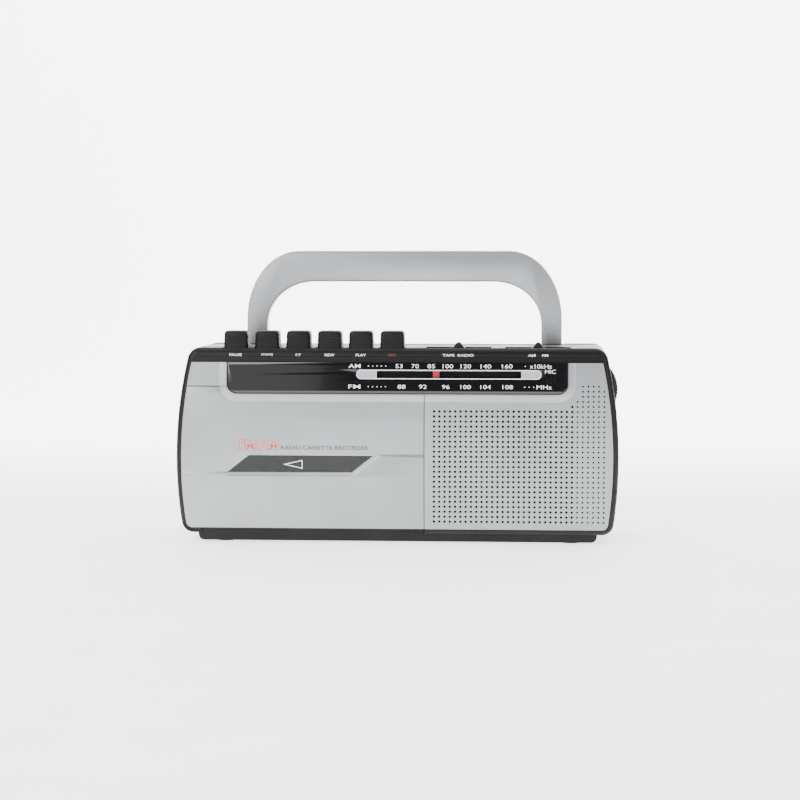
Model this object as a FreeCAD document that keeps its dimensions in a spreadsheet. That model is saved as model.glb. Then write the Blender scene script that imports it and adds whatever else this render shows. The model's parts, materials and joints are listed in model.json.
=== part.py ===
"""Portable radio cassette recorder, modelled as separate pieces in one frame.

The frame is in millimetres. The origin is under the middle of the cabinet on the surface it stands
on, +X points to the right of someone facing the front, -Y points out of the front, and +Z is up.
"""
import FreeCAD, Part
import Sketcher
import math
import os
import re

Vector = FreeCAD.Vector
doc = FreeCAD.newDocument("RadioCassetteRecorder")
sheet = doc.addObject("Spreadsheet::Sheet", "Sizes")

# Every driving dimension, in millimetres or degrees.
SIZES = {
    # cabinet
    "case_half": 111.5,        # half the width at the widest line
    "case_depth": 72.0,
    "case_top": 98.7,
    "shell_bottom": 4.8,
    "waist_height": 43.0,      # height of the widest line
    "side_radius": 234.0,
    "front_radius": 380.0,
    "belly_height": 40.0,      # height of the most forward line
    "top_corner": 7.0,
    "bottom_corner": 6.0,
    "rim_round": 2.6,
    "shell_wall": 1.9,
    "split_plane": 6.0,        # where the front and rear cabinets meet
    "skin": 1.6,               # thickness of the silver front and the door
    "seat_gap": 0.05,          # between faces that are seated on each other
    "run_gap": 0.35,           # between pieces that move past each other
    "silver_inset": 3.0,       # black rim left beside the silver front
    "silver_bottom": 5.4,
    "silver_top": 91.3,
    # plinth and feet
    "plinth_half": 100.8,
    "plinth_half_depth": 29.0,
    "plinth_bottom": 0.8,
    "foot_radius": 6.0,
    "foot_inset": 13.0,
    # dial
    "dial_left": -85.0,
    "dial_right": 85.8,
    "dial_bottom": 75.9,
    "dial_corner": 5.0,
    "slot_left": -22.0,
    "slot_right": 73.0,
    "slot_bottom": 78.0,
    "slot_top": 90.4,
    "dial_plate_y": -28.8,
    "dial_plate_thick": 0.6,
    "pointer_x": 20.0,
    "pointer_width": 3.3,
    # cassette door
    "door_right": 14.3,
    "door_top": 79.2,
    "tape_x": -44.0,           # middle of the cassette
    "tape_half": 50.2,
    "tape_bottom": 8.2,
    "tape_height": 63.8,
    "tape_back": -19.6,
    "reel_spacing": 42.5,
    "reel_height": 37.0,
    "hinge_y": -30.6,
    "hinge_z": 8.4,
    "hinge_pin": 1.2,
    "pin_gap": 0.08,           # radial running clearance of small pins and shafts
    "window_low": 36.3,
    "window_high": 44.6,
    "window_left": -84.6,
    "window_right": -11.6,
    "window_slant": 10.6,
    # keys
    "key_pitch": 15.85,
    "key_first": -81.6,
    "key_width": 12.6,
    "key_front": -28.5,
    "key_back": -15.5,
    "key_rise": 8.3,
    "key_travel": 4.5,
    "stem_front": -21.5,
    "stem_back": -17.5,
    "stem_width": 6.0,
    "lever_width": 1.6,
    # slide switches
    "slider_y": -22.0,
    "function_x": 31.0,
    "band_x": 71.0,
    "slider_width": 7.5,
    "slider_rise": 2.6,
    "slider_travel": 5.0,
    "dish_half": 16.5,
    "dish_width": 12.0,
    "dish_depth": 2.0,
    "dish_pad": 1.4,           # wall under the dish
    # tuning
    "wheel_proud": 2.1,        # how far a thumbwheel stands out of the side
    "tuner_z": 78.0,
    "tuner_radius": 17.0,
    "tuner_front": -26.3,
    "tuner_back": -20.5,
    "drum_radius": 11.8,
    "cord_y": -27.3,
    "cord_width": 0.8,
    "pulley_x": -27.0,
    "pulley_radius": 4.0,
    "guide_x": 75.5,
    "guide_radius": 2.5,
    # volume
    "volume_radius": 11.0,
    "volume_z": 78.0,
    "volume_front": 8.8,
    "volume_back": 13.6,
    # speaker
    "speaker_x": 55.0,
    "speaker_z": 42.0,
    "speaker_radius": 33.0,
    "speaker_depth": 21.0,
    "magnet_radius": 19.0,
    "grille_columns": 33,
    "grille_rows": 23,
    "grille_left": 19.2,
    "grille_right": 104.0,
    "grille_low": 11.7,
    "grille_high": 67.1,
    # tape mechanism
    "chassis_y": -15.0,
    "chassis_thick": 1.2,
    "chassis_top": 80.5,
    "bridge_y": -16.8,
    "bridge_low": 69.5,
    "bridge_high": 80.0,
    "capstan_x": -69.5,
    "capstan_z": 66.0,
    "capstan_radius": 1.0,
    "flywheel_radius": 19.0,
    "flywheel_front": -9.4,
    "flywheel_back": -3.6,
    "bracket_y": -2.0,
    "bracket_thick": 1.2,
    "motor_x": -22.0,
    "motor_z": 58.0,
    "motor_radius": 14.0,
    "motor_length": 19.0,
    "motor_pulley_radius": 4.0,
    "belt_thick": 0.8,
    "belt_width": 2.0,
    "roller_radius": 6.0,
    "head_front": -28.4,
    "head_back": -22.6,
    # boards
    "board_y": -3.0,
    "board_thick": 1.6,
    # handle
    "handle_half": 83.2,
    "handle_leg": 10.8,
    "handle_bar": 16.2,
    "handle_top": 147.4,
    "handle_y": 31.5,
    "handle_thick": 8.0,
    "handle_outer_corner": 31.0,
    "handle_inner_corner": 22.5,
    "pivot_z": 92.5,
    "pivot_radius": 2.5,
    "recess_gap": 1.2,
    "swing_room": 3.0,         # behind the handle, for its ends to turn
    # batteries
    "cell_radius": 13.1,
    "cell_length": 50.0,
    "battery_y": 20.6,
    "battery_z": 20.0,
    # antenna
    "antenna_y": 17.0,
    "antenna_z": 95.2,
    "antenna_pivot_x": 97.0,
    "antenna_radius": 3.0,
    "antenna_length": 128.0,
    "antenna_step": 0.7,
    # sockets
    "jack_y": 14.0,
    "jack_z": 52.0,
    "jack_bore": 1.8,
    "inlet_x": 96.0,
    "inlet_z": 60.0,
}
for row, (alias, value) in enumerate(SIZES.items(), start=1):
    sheet.set(f"A{row}", alias)
    sheet.set(f"B{row}", str(value))
    sheet.setAlias(f"B{row}", alias)
doc.recompute()

FRONT = "(-case_depth/2)"
BACK = "(case_depth/2)"
FRONT_WALL = "(skin + run_gap)"                      # how far the cabinet's face lies behind the skin
INNER_WALL = f"({FRONT_WALL} + shell_wall)"
TUNER_X = "(case_half - (tuner_z - waist_height)^2/(2*side_radius) + wheel_proud - tuner_radius)"
VOLUME_X = "(volume_radius - wheel_proud - case_half + (volume_z - waist_height)^2/(2*side_radius))"
CORD_TOP = "(tuner_z + drum_radius)"
POCKET_LEFT = "(tape_x - tape_half - 4.6)"
POCKET_RIGHT = "(tape_x + tape_half + 3.6)"
POCKET_TOP = "(tape_bottom + tape_height + 1.2)"
ROLLER_Z = "(capstan_z + capstan_radius + roller_radius + key_travel + 0.1)"
BAY_FRONT = "(split_plane + seat_gap + 1.5)"
RECESS_HALF = "(handle_half + recess_gap)"
RECESS_FLOOR = "(handle_y - handle_thick/2 - swing_room)"
RECESS_LOW = "(2*pivot_z - handle_top - recess_gap)"
SCREW_PLACES = [(f"{side}*(case_half - {inset})", height)
                for side in (-1, 1) for inset, height in (("4.5", "39"), ("5.5", "62"))]


def size(name):
    """The value of one cell of the sheet."""
    return float(sheet.get(name))


def formula(text):
    """Write a formula in size names as a FreeCAD expression."""
    return re.sub(r"[a-z][a-z_]+", lambda word: "Sizes." + word.group(0) if word.group(0) in SIZES
                  else word.group(0), str(text))


def bind(item, prop, text):
    item.setExpression(prop, formula(text))


def place(item, x, y, z):
    for axis, text in zip("xyz", (x, y, z)):
        bind(item, f"Placement.Base.{axis}", text)


TURNS = {
    "z": FreeCAD.Rotation(),
    "-z": FreeCAD.Rotation(Vector(1, 0, 0), 180),
    "x": FreeCAD.Rotation(Vector(0, 1, 0), 90),
    "-x": FreeCAD.Rotation(Vector(0, 1, 0), -90),
    "y": FreeCAD.Rotation(Vector(1, 0, 0), -90),
    "-y": FreeCAD.Rotation(Vector(1, 0, 0), 90),
}


def block(name, x0, x1, y0, y1, z0, z1):
    """A box between three pairs of planes."""
    item = doc.addObject("Part::Box", name)
    bind(item, "Length", f"({x1}) - ({x0})")
    bind(item, "Width", f"({y1}) - ({y0})")
    bind(item, "Height", f"({z1}) - ({z0})")
    place(item, x0, y0, z0)
    return item


def rod(name, axis, x, y, z, radius, length):
    """A cylinder that starts at a point and runs along an axis."""
    item = doc.addObject("Part::Cylinder", name)
    bind(item, "Radius", radius)
    bind(item, "Height", length)
    item.Placement = FreeCAD.Placement(Vector(), TURNS[axis])
    place(item, x, y, z)
    return item


def union(name, pieces):
    item = doc.addObject("Part::MultiFuse", name)
    item.Shapes = pieces
    return item


def overlap(name, pieces):
    item = doc.addObject("Part::MultiCommon", name)
    item.Shapes = pieces
    return item


def subtract(name, base, tools):
    """Cut one or several tools from a base."""
    item = doc.addObject("Part::Cut", name)
    item.Base = base
    item.Tool = tools[0] if len(tools) == 1 else union(name + "Tools", tools)
    return item


def group(name, pieces):
    """Several separate solids that share one node."""
    item = doc.addObject("Part::Compound", name)
    item.Links = pieces
    return item


def origin_plane(body, role):
    return next(part for part in body.Origin.OriginFeatures if part.Role == role)


def sketch_outline(body, plane, points):
    """A closed outline of straight lines, with every corner held by two distances."""
    sketch = body.newObject("Sketcher::SketchObject", body.Name + "Sketch")
    sketch.AttachmentSupport = [(origin_plane(body, plane), "")]
    sketch.MapMode = "FlatFace"
    corners = [Vector(evaluate(x), evaluate(y), 0) for x, y in points]
    count = len(corners)
    for index, corner in enumerate(corners):
        sketch.addGeometry(Part.LineSegment(corner, corners[(index + 1) % count]), False)
    for index in range(count):
        sketch.addConstraint(Sketcher.Constraint("Coincident", index, 2, (index + 1) % count, 1))
    for index, (x, y) in enumerate(points):
        for kind, text, value in (("DistanceX", x, corners[index].x), ("DistanceY", y, corners[index].y)):
            number = sketch.addConstraint(Sketcher.Constraint(kind, -1, 1, index, 1, value))
            sketch.setExpression(f"Constraints[{number}]", formula(text))
    return sketch


def evaluate(text):
    """Work a formula out with the sheet's values."""
    return float(sheet.evalExpression(formula(text)))


def padded(name, plane, points, length, x="0", y="0", z="0"):
    """A body with one padded outline, moved to its place."""
    body = doc.addObject("PartDesign::Body", name)
    sketch = sketch_outline(body, plane, points)
    pad = body.newObject("PartDesign::Pad", name + "Pad")
    pad.Profile = sketch
    bind(pad, "Length", length)
    body.Tip = pad
    place(body, x, y, z)
    return body


def turned(name, axis, points, x, y, z):
    """A body of revolution: (radius, height) points turned about an axis that starts at x, y, z."""
    body = doc.addObject("PartDesign::Body", name)
    sketch = sketch_outline(body, "XZ_Plane", points)
    turn = body.newObject("PartDesign::Revolution", name + "Turn")
    turn.Profile = sketch
    turn.ReferenceAxis = (sketch, ["V_Axis"])
    turn.Angle = 360
    body.Tip = turn
    body.Placement = FreeCAD.Placement(Vector(), TURNS[axis])
    place(body, x, y, z)
    return body


def rounded(body, radius, chosen):
    """Round the edges of a body that a test picks by their middle point and direction."""
    doc.recompute()
    base = body.Tip
    names = picked_edges(base.Shape, chosen)
    fillet = body.newObject("PartDesign::Fillet", body.Name + "Round" + str(len(body.Group)))
    fillet.Base = (base, names)
    bind(fillet, "Radius", radius)
    body.Tip = fillet
    return body


def picked_edges(shape, chosen):
    names = []
    for number, edge in enumerate(shape.Edges, start=1):
        middle = edge.valueAt((edge.FirstParameter + edge.LastParameter) / 2)
        if chosen(middle, edge):
            names.append(f"Edge{number}")
    return names


def filleted(name, base, rounds):
    """Round edges of a Part object: pairs of a radius and a test that picks the edges."""
    doc.recompute()
    item = doc.addObject("Part::Fillet", name)
    item.Base = base
    edges = []
    for radius, chosen in rounds:
        for edge in picked_edges(base.Shape, chosen):
            edges.append((int(edge[4:]), evaluate(radius), evaluate(radius)))
    item.Edges = edges
    return item


def runs_along(edge, direction):
    """Whether an edge joins two ends that lie along one axis."""
    if len(edge.Vertexes) < 2:
        return False
    span = edge.Vertexes[-1].Point - edge.Vertexes[0].Point
    return span.Length > 0 and abs(span.normalize().dot(direction)) > 0.999


nodes = {}


def node(name, item):
    """Give a finished piece its name."""
    item.Label = name
    nodes[name] = item
    return item


def bowed_sketch(body, inset):
    """The cabinet seen from the front: bowed sides, straight top and bottom, round corners."""
    sketch = body.newObject("Sketcher::SketchObject", body.Name + "Sketch")
    sketch.AttachmentSupport = [(origin_plane(body, "XZ_Plane"), "")]
    sketch.MapMode = "FlatFace"
    bow = f"side_radius - ({inset})"
    waist = size("waist_height")
    bow_x = evaluate("case_half - side_radius")
    tangents = {}
    for level, edge, corner in (("top", "case_top", "top_corner"), ("low", "shell_bottom", "bottom_corner")):
        sign = 1 if level == "top" else -1
        corner_z = size(edge) - sign * size(corner)
        reach = size("side_radius") - size(corner)
        corner_x = bow_x + math.sqrt(reach ** 2 - (corner_z - waist) ** 2)
        scale = evaluate(bow) / reach
        side = Vector(bow_x + (corner_x - bow_x) * scale, waist + (corner_z - waist) * scale, 0)
        end = Vector(corner_x, corner_z + sign * (size(corner) - evaluate(inset)), 0)
        tangents[level] = (Vector(corner_x, corner_z, 0), side, end)

    def mirrored(point):
        return Vector(-point.x, point.y, 0)

    def arc(centre, start, end):
        """A counter-clockwise arc between two points."""
        circle = Part.Circle(centre, Vector(0, 0, 1), (start - centre).Length)
        return Part.ArcOfCircle(circle, circle.parameter(start), circle.parameter(end))

    top, top_side, top_end = tangents["top"]
    low, low_side, low_end = tangents["low"]
    bow_centre = Vector(bow_x, waist, 0)
    outline = [
        Part.LineSegment(mirrored(low_end), low_end),
        arc(low, low_end, low_side),
        arc(bow_centre, low_side, top_side),
        arc(top, top_side, top_end),
        Part.LineSegment(top_end, mirrored(top_end)),
        arc(mirrored(top), mirrored(top_end), mirrored(top_side)),
        arc(mirrored(bow_centre), mirrored(top_side), mirrored(low_side)),
        arc(mirrored(low), mirrored(low_side), mirrored(low_end)),
    ]
    for piece in outline:
        sketch.addGeometry(piece, False)
    for index in range(8):
        sketch.addConstraint(Sketcher.Constraint("Tangent", index, 2, (index + 1) % 8, 1))

    def hold(kind, text, *where):
        number = sketch.addConstraint(Sketcher.Constraint(kind, *where, evaluate(text)))
        sketch.setExpression(f"Constraints[{number}]", formula(text))

    hold("DistanceY", f"shell_bottom + ({inset})", -1, 1, 0, 1)
    hold("DistanceY", f"case_top - ({inset})", -1, 1, 4, 1)
    for index, text in ((1, "bottom_corner"), (7, "bottom_corner"), (3, "top_corner"), (5, "top_corner")):
        hold("Radius", f"{text} - ({inset})", index)
    for index, text in ((2, "case_half - side_radius"), (6, "side_radius - case_half")):
        hold("Radius", bow, index)
        hold("DistanceX", text, -1, 1, index, 3)
        hold("DistanceY", "waist_height", -1, 1, index, 3)
    return sketch


def bowed_body(name, inset, back):
    """The cabinet's outline, padded from one plane to beyond the front."""
    body = doc.addObject("PartDesign::Body", name)
    pad = body.newObject("PartDesign::Pad", name + "Pad")
    pad.Profile = bowed_sketch(body, inset)
    bind(pad, "Length", f"({back}) + case_depth")
    body.Tip = pad
    place(body, "0", back, "0")
    return body


def front_limit(name, inset):
    """The wide cylinder that gives the front its gentle belly."""
    return rod(name + "FrontBow", "x", "-1.2*case_half", f"{FRONT} + front_radius", "belly_height",
               f"front_radius - ({inset})", "2.4*case_half")


def cabinet_form(name, side_inset, front_inset, back):
    """A solid with the cabinet's outline and belly, at one distance inside them."""
    return overlap(name, [bowed_body(name + "Bowed", side_inset, back), front_limit(name, front_inset)])


def skin_layer(name, inset, thickness, x0, x1, z0, z1):
    """A sheet that follows the belly of the front, between two distances behind it."""
    slab = overlap(name + "Slab", [
        block(name + "Box", x0, x1, FRONT, f"{FRONT} + case_depth/4", z0, z1),
        front_limit(name, inset),
    ])
    return subtract(name + "Sheet", slab, [front_limit(name + "Inner", f"({inset}) + ({thickness})")])


def front_bosses():
    """Posts and bosses moulded on the inside of the front cabinet."""
    start = f"{FRONT} + {INNER_WALL} - 0.5"
    posts = []
    chassis_posts = [("-102", "18"), ("-102", "76"), ("12.2", "18"), ("12.2", "70")]
    for number, (x, z) in enumerate(chassis_posts):
        posts.append(rod(f"ChassisPost{number}", "y", x, start, z, "2",
                         f"chassis_y - seat_gap - ({start})"))
    for number, (x, z) in enumerate([("18.4", "44"), ("18.4", "66"), ("95", "45")]):
        posts.append(rod(f"BoardPost{number}", "y", x, start, z, "2.1",
                         f"board_y - seat_gap - ({start})"))
    for number, (x, z) in enumerate(SCREW_PLACES):
        boss = rod(f"FrontBoss{number}", "y", x, "split_plane - 8", z, "3.3", "8")
        hole = rod(f"FrontBossHole{number}", "y", x, "split_plane - 9", z, "1.5", "10")
        posts.append(subtract(f"FrontBossBored{number}", boss, [hole]))
    return posts


def hinge_bosses():
    """The two eyes that carry the door's pins."""
    eyes = []
    for side, x0, x1 in (("Left", f"{POCKET_LEFT} - 3.8", f"{POCKET_LEFT} - 0.4"),
                         ("Right", f"{POCKET_RIGHT} + 0.4", f"{POCKET_RIGHT} + 3.8")):
        width = f"({x1}) - ({x0})"
        eye = union(f"Hinge{side}Eye", [
            rod(f"Hinge{side}Round", "x", x0, "hinge_y", "hinge_z", "hinge_pin + 0.8", width),
            block(f"Hinge{side}Web", x0, x1, "hinge_y", "hinge_y + 1.8", "shell_bottom + 0.5", "hinge_z"),
        ])
        bore = rod(f"Hinge{side}Bore", "x", f"({x0}) - 1", "hinge_y", "hinge_z",
                   "hinge_pin + pin_gap", f"{width} + 2")
        eyes.append(subtract(f"Hinge{side}", eye, [bore]))
    return eyes


def key_x(number):
    return f"(key_first + {number}*key_pitch)"


def front_cabinet(outer, inner):
    shell = subtract("FrontShell", overlap("FrontHalf", [
        outer,
        block("FrontHalfBox", "-1.1*case_half", "1.1*case_half", FRONT, "split_plane", "0", "case_top"),
    ]), [inner])
    posts = overlap("FrontPosts", [outer, union("FrontPostSet", front_bosses())])
    pads = [block(f"DishPad{number}", f"{x} - dish_half - 2", f"{x} + dish_half + 2",
                  "slider_y - dish_width/2 - 1", "slider_y + dish_width/2 + 1",
                  "case_top - dish_depth - dish_pad", "case_top - shell_wall + 0.1")
            for number, x in enumerate(["function_x", "band_x"])]
    solid = union("FrontSolid", [shell, posts, *pads])
    cuts = [
        block("DoorPocket", POCKET_LEFT, POCKET_RIGHT, f"{FRONT}", f"{FRONT} + {INNER_WALL} + 3",
              "shell_bottom + shell_wall + 0.1", POCKET_TOP),
        block("DoorToeSpace", "-case_half", "door_right", FRONT, "hinge_y + 0.7", "0",
              "hinge_z + hinge_pin + 0.3"),
        block("DialWindow", "slot_left", "slot_right", FRONT, f"{FRONT} + case_depth/6", "slot_bottom",
              "slot_top"),
        rod("SpeakerMouth", "y", "speaker_x", FRONT, "speaker_z", "speaker_radius - 3", "case_depth/6"),
        block("TunerSlot", f"{TUNER_X}", "1.1*case_half", "tuner_front - run_gap",
              "tuner_back + run_gap", "tuner_z - 0.88*tuner_radius", "tuner_z + 0.88*tuner_radius"),
    ]
    for number in range(6):
        x = key_x(number)
        cuts.append(block(f"KeyHole{number}", f"{x} - key_width/2 - run_gap",
                          f"{x} + key_width/2 + run_gap", "key_front - run_gap",
                          "key_back + run_gap", "case_top - shell_wall - key_travel", "case_top + 1"))
    for number, x in enumerate(["function_x", "band_x"]):
        cuts.append(block(f"Dish{number}", f"{x} - dish_half", f"{x} + dish_half",
                          "slider_y - dish_width/2", "slider_y + dish_width/2",
                          "case_top - dish_depth", "case_top + 1"))
        cuts.append(block(f"StemSlot{number}", f"{x} - slider_travel - 1.6",
                          f"{x} + slider_travel + 1.6", "slider_y - 1.4", "slider_y + 1.4",
                          "case_top - dish_depth - 3", "case_top"))
    bored = subtract("FrontBored", solid, cuts)
    node("front_cabinet", union("FrontCabinet", [bored, *hinge_bosses()]))


def rear_cabinet(outer, inner):
    seam = "split_plane + seat_gap"
    rear_half = block("RearHalfBox", "-1.1*case_half", "1.1*case_half", seam, BACK, "0", "case_top")
    shell = subtract("RearShell", overlap("RearHalf", [outer, rear_half]), [inner])
    wall = "shell_wall"
    additions = [
        block("RecessWalls", f"-{RECESS_HALF} - {wall}", f"{RECESS_HALF} + {wall}",
              f"{RECESS_FLOOR} - {wall}", BACK, f"{RECESS_LOW} - {wall}", "case_top"),
        block("BayWalls", "-2*cell_length - 2.6", "2*cell_length + 2.6", seam, BACK, "shell_bottom",
              "battery_z + cell_radius + 0.2 + 1.8"),
        block("AntennaWalls", "-case_half", "antenna_pivot_x + 6.4", "antenna_y - 5.4",
              "antenna_y + 5.4", "antenna_z - 5.4", "case_top"),
        rod("VolumePost", "y", VOLUME_X, "volume_back + 6.4", "volume_z", "5", f"{BACK} - volume_back - 6.4"),
    ]
    for side, x in (("Left", f"-{RECESS_HALF} - 6"), ("Right", f"{RECESS_HALF}")):
        additions.append(rod(f"PivotBoss{side}", "x", x, "handle_y", "pivot_z", "4.2", "6"))
    for number, (x, z) in enumerate(SCREW_PLACES):
        additions.append(rod(f"RearBoss{number}", "y", x, seam, z, "3.3", f"{BACK} - ({seam})"))
    solid = union("RearSolid", [shell, overlap("RearInside", [
        outer, rear_half, union("RearAdditions", additions)])])
    cuts = [
        block("HandleRecess", f"-{RECESS_HALF}", RECESS_HALF, RECESS_FLOOR, f"{BACK} + 1", RECESS_LOW,
              "case_top + 1"),
        block("BatteryBay", "-2*cell_length - 1", "2*cell_length + 1", BAY_FRONT, f"{BACK} - 3.4",
              "shell_bottom + shell_wall + 0.2", "battery_z + cell_radius + 0.2"),
        block("BayMouth", "-2*cell_length", "2*cell_length", f"{BACK} - 3.5", f"{BACK} + 1", "9.2", "31.8"),
        block("DoorLedge", "-2*cell_length - 2.35", "2*cell_length + 2.35", f"{BACK} - 1.85",
              f"{BACK} + 1", "7.65", "33.35"),
        block("AntennaChannel", "-1.1*case_half", "antenna_pivot_x + 4.5", "antenna_y - 3.6",
              "antenna_y + 3.6", "antenna_z - 3.6", "case_top + 1"),
        rod("AntennaPinHole", "y", "antenna_pivot_x", "antenna_y - 5", "antenna_z", "1.12", "10"),
        block("VolumeSlot", "-1.1*case_half", VOLUME_X, "volume_front - run_gap",
              "volume_back + run_gap", "volume_z - 0.91*volume_radius", "volume_z + 0.91*volume_radius"),
        rod("JackHole", "-x", "-case_half + 6", "jack_y", "jack_z", "4.05", "8"),
        block("InletHole", "inlet_x - 6.55", "inlet_x + 6.55", f"{BACK} - 4", f"{BACK} + 1",
              "inlet_z - 10.55", "inlet_z + 10.55"),
    ]
    for side, x, direction in (("Left", f"-{RECESS_HALF} + 1", "-x"), ("Right", f"{RECESS_HALF} - 1", "x")):
        cuts.append(rod(f"PivotHole{side}", direction, x, "handle_y", "pivot_z", "pivot_radius + 0.02", "8"))
    for number, (x, z) in enumerate(SCREW_PLACES):
        cuts.append(rod(f"RearBossHole{number}", "y", x, "split_plane - 1", z, "1.6", "case_depth"))
        cuts.append(rod(f"HeadSeat{number}", "y", x, f"{BACK} - 2.2", z, "2.8", "4"))
    node("rear_cabinet", subtract("RearCabinet", solid, cuts))


def cabinet():
    outer = cabinet_form("Outer", "0", FRONT_WALL, BACK)
    rim = filleted("OuterRim", outer, [
        ("rim_round", lambda middle, edge: middle.y < -size("case_depth") / 2 + 12
         and not runs_along(edge, Vector(0, 1, 0)))])
    inner = cabinet_form("Inner", "shell_wall", INNER_WALL, f"{BACK} - shell_wall")
    front_cabinet(rim, inner)
    rear_cabinet(outer, inner)


def silver_edge(name):
    """The cabinet's outline, brought in by the black rim left beside the silver front."""
    return bowed_body(name, "silver_inset", f"{FRONT} + case_depth/4")


def speaker_panel():
    """The silver panel right of the door, perforated in front of the speaker."""
    sheet_piece = skin_layer("Panel", "0", "skin", "door_right + 0.15", "case_half", "silver_bottom",
                             "silver_top")
    outline = silver_edge("PanelEdge")
    notch = block("PanelDialNotch", "0", "dial_right + 0.3", f"{FRONT} - 1", "0", "dial_bottom - 0.3",
                  "case_top")
    tuner = block("PanelTunerNotch", f"{TUNER_X} + 0.7*tuner_radius", "case_half",
                  "tuner_front - run_gap", "0", "tuner_z - 0.7*tuner_radius", "tuner_z + 0.7*tuner_radius")
    plate = subtract("PanelPlate", overlap("PanelTrimmed", [sheet_piece, outline]), [notch, tuner])
    doc.recompute()
    front = evaluate(FRONT)
    holes = []
    for x, z, radius in grille_places():
        holes.append(Part.makeCylinder(radius, 8, Vector(x, front - 2, z), Vector(0, 1, 0)))
    perforated = doc.addObject("Part::Feature", "PanelPerforated")
    perforated.Shape = plate.Shape.cut(Part.makeCompound(holes))
    node("speaker_panel", perforated)


def grille_places():
    """The middle and radius of every hole of the grille."""
    columns = int(size("grille_columns"))
    rows = int(size("grille_rows"))
    pitch_x = (size("grille_right") - size("grille_left")) / (columns - 1)
    pitch_z = (size("grille_high") - size("grille_low")) / (rows - 1)
    wide, narrow = 0.65, 0.5
    extra_rows = [7, 6, 5, 5, 5]           # holes in each short row beside the dial
    places = []
    for row in range(rows + len(extra_rows)):
        first = 0 if row < rows else columns - extra_rows[row - rows]
        for column in range(first, columns):
            radius = wide if column < columns - 6 else narrow
            x = size("grille_left") + column * pitch_x
            z = size("grille_low") + row * pitch_z
            if edge_x(z) - x > 1.6:
                places.append((x, z, radius))
    return places


def edge_x(height):
    """Where the silver front ends on the right at one height."""
    rise = height - size("waist_height")
    reach = size("side_radius") - size("silver_inset")
    return size("case_half") - size("side_radius") + math.sqrt(reach ** 2 - rise ** 2)


def corner_panel():
    """The silver tab above the door, left of the dial."""
    sheet_piece = skin_layer("Corner", "0", "skin", "-case_half", "dial_left - 0.3", "door_top + 0.3",
                             "silver_top")
    node("corner_panel", overlap("CornerPanel", [sheet_piece, silver_edge("CornerEdge")]))


def dial():
    lens = skin_layer("Lens", "0.15", "skin - 0.15", "dial_left", "dial_right", "dial_bottom", "silver_top")
    corner = filleted("DialLens", lens, [
        ("dial_corner", lambda middle, edge: abs(edge.Vertexes[-1].Z - edge.Vertexes[0].Z) < 1
         and middle.z < size("dial_bottom") + 1 and edge.Length < 3)])
    node("dial_lens", corner)
    plate_back = "dial_plate_y + dial_plate_thick"
    plate_left = "pulley_x - pulley_radius - 0.5"
    plate_right = "guide_x + guide_radius + 1"
    plate = block("DialPlateBox", plate_left, plate_right, "dial_plate_y", plate_back, "77", "87.6")
    lugs = overlap("DialLugs", [
        union("DialLugPair", [
            block("DialLugLeft", plate_left, "slot_left - 0.5", f"{FRONT}", "dial_plate_y", "77", "84"),
            block("DialLugRight", "slot_right + 0.5", plate_right, f"{FRONT}", "dial_plate_y", "77", "84"),
        ]),
        front_limit("DialLugs", f"{INNER_WALL} + 3*seat_gap"),
    ])
    posts = [rod(f"CordPost{number}", "y", x, f"{plate_back} - 0.2", z, radius,
                 f"cord_y + cord_width - ({plate_back}) + 0.2")
             for number, (x, z, radius) in enumerate([
                 ("pulley_x", f"{CORD_TOP} - pulley_radius", "pulley_radius"),
                 ("guide_x", f"{CORD_TOP} - 2*pulley_radius - guide_radius", "guide_radius")])]
    node("dial_plate", union("DialPlate", [plate, lugs, *posts]))
    node("microphone", rod("Microphone", "y", "guide_x + 0.8", f"{plate_back} + seat_gap", "86.2",
                           "1.3", "1.4"))


def tangent_loop(circles, thickness, front, width):
    """A flat band round circles: each is (x, z, radius, +1 outside or -1 when it wraps the other side)."""
    def side_points(first, second):
        x0, z0, r0, s0 = first
        x1, z1, r1, s1 = second
        dx, dz = x1 - x0, z1 - z0
        distance = math.hypot(dx, dz)
        lean = math.acos((s0 * r0 - s1 * r1) / distance)
        angle = math.atan2(dz, dx) - lean
        normal = Vector(math.cos(angle), 0, math.sin(angle))
        return (Vector(x0, 0, z0) + normal * (s0 * r0), Vector(x1, 0, z1) + normal * (s1 * r1))

    def outline(offset):
        grown = [(x, z, radius + sign * offset, sign) for x, z, radius, sign in circles]
        count = len(grown)
        spans = [side_points(grown[index], grown[(index + 1) % count]) for index in range(count)]
        edges = []
        for index in range(count):
            start, end = spans[index]
            edges.append(Part.LineSegment(start, end).toShape())
            following = spans[(index + 1) % count][0]
            x, z, radius, sign = grown[(index + 1) % count]
            edges.append(wrap(Vector(x, 0, z), end, following, radius, sign))
        return Part.Wire(edges)

    def wrap(centre, start, end, radius, sign):
        begin = math.atan2(start.z - centre.z, start.x - centre.x)
        finish = math.atan2(end.z - centre.z, end.x - centre.x)
        turn = (finish - begin) % (2 * math.pi) if sign > 0 else -((begin - finish) % (2 * math.pi))
        angle = begin + turn / 2
        middle = centre + Vector(math.cos(angle), 0, math.sin(angle)) * radius
        return Part.Arc(start, middle, end).toShape()

    ring = Part.Face(outline(thickness)).cut(Part.Face(outline(0)))
    ring.translate(Vector(0, front, 0))
    return ring.extrude(Vector(0, width, 0))


def band(name, circles, thickness, front, width):
    item = doc.addObject("Part::Feature", name)
    numbers = [(evaluate(x), evaluate(z), evaluate(radius), sign) for x, z, radius, sign in circles]
    item.Shape = tangent_loop(numbers, evaluate(thickness), evaluate(front), evaluate(width))
    return item


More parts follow.
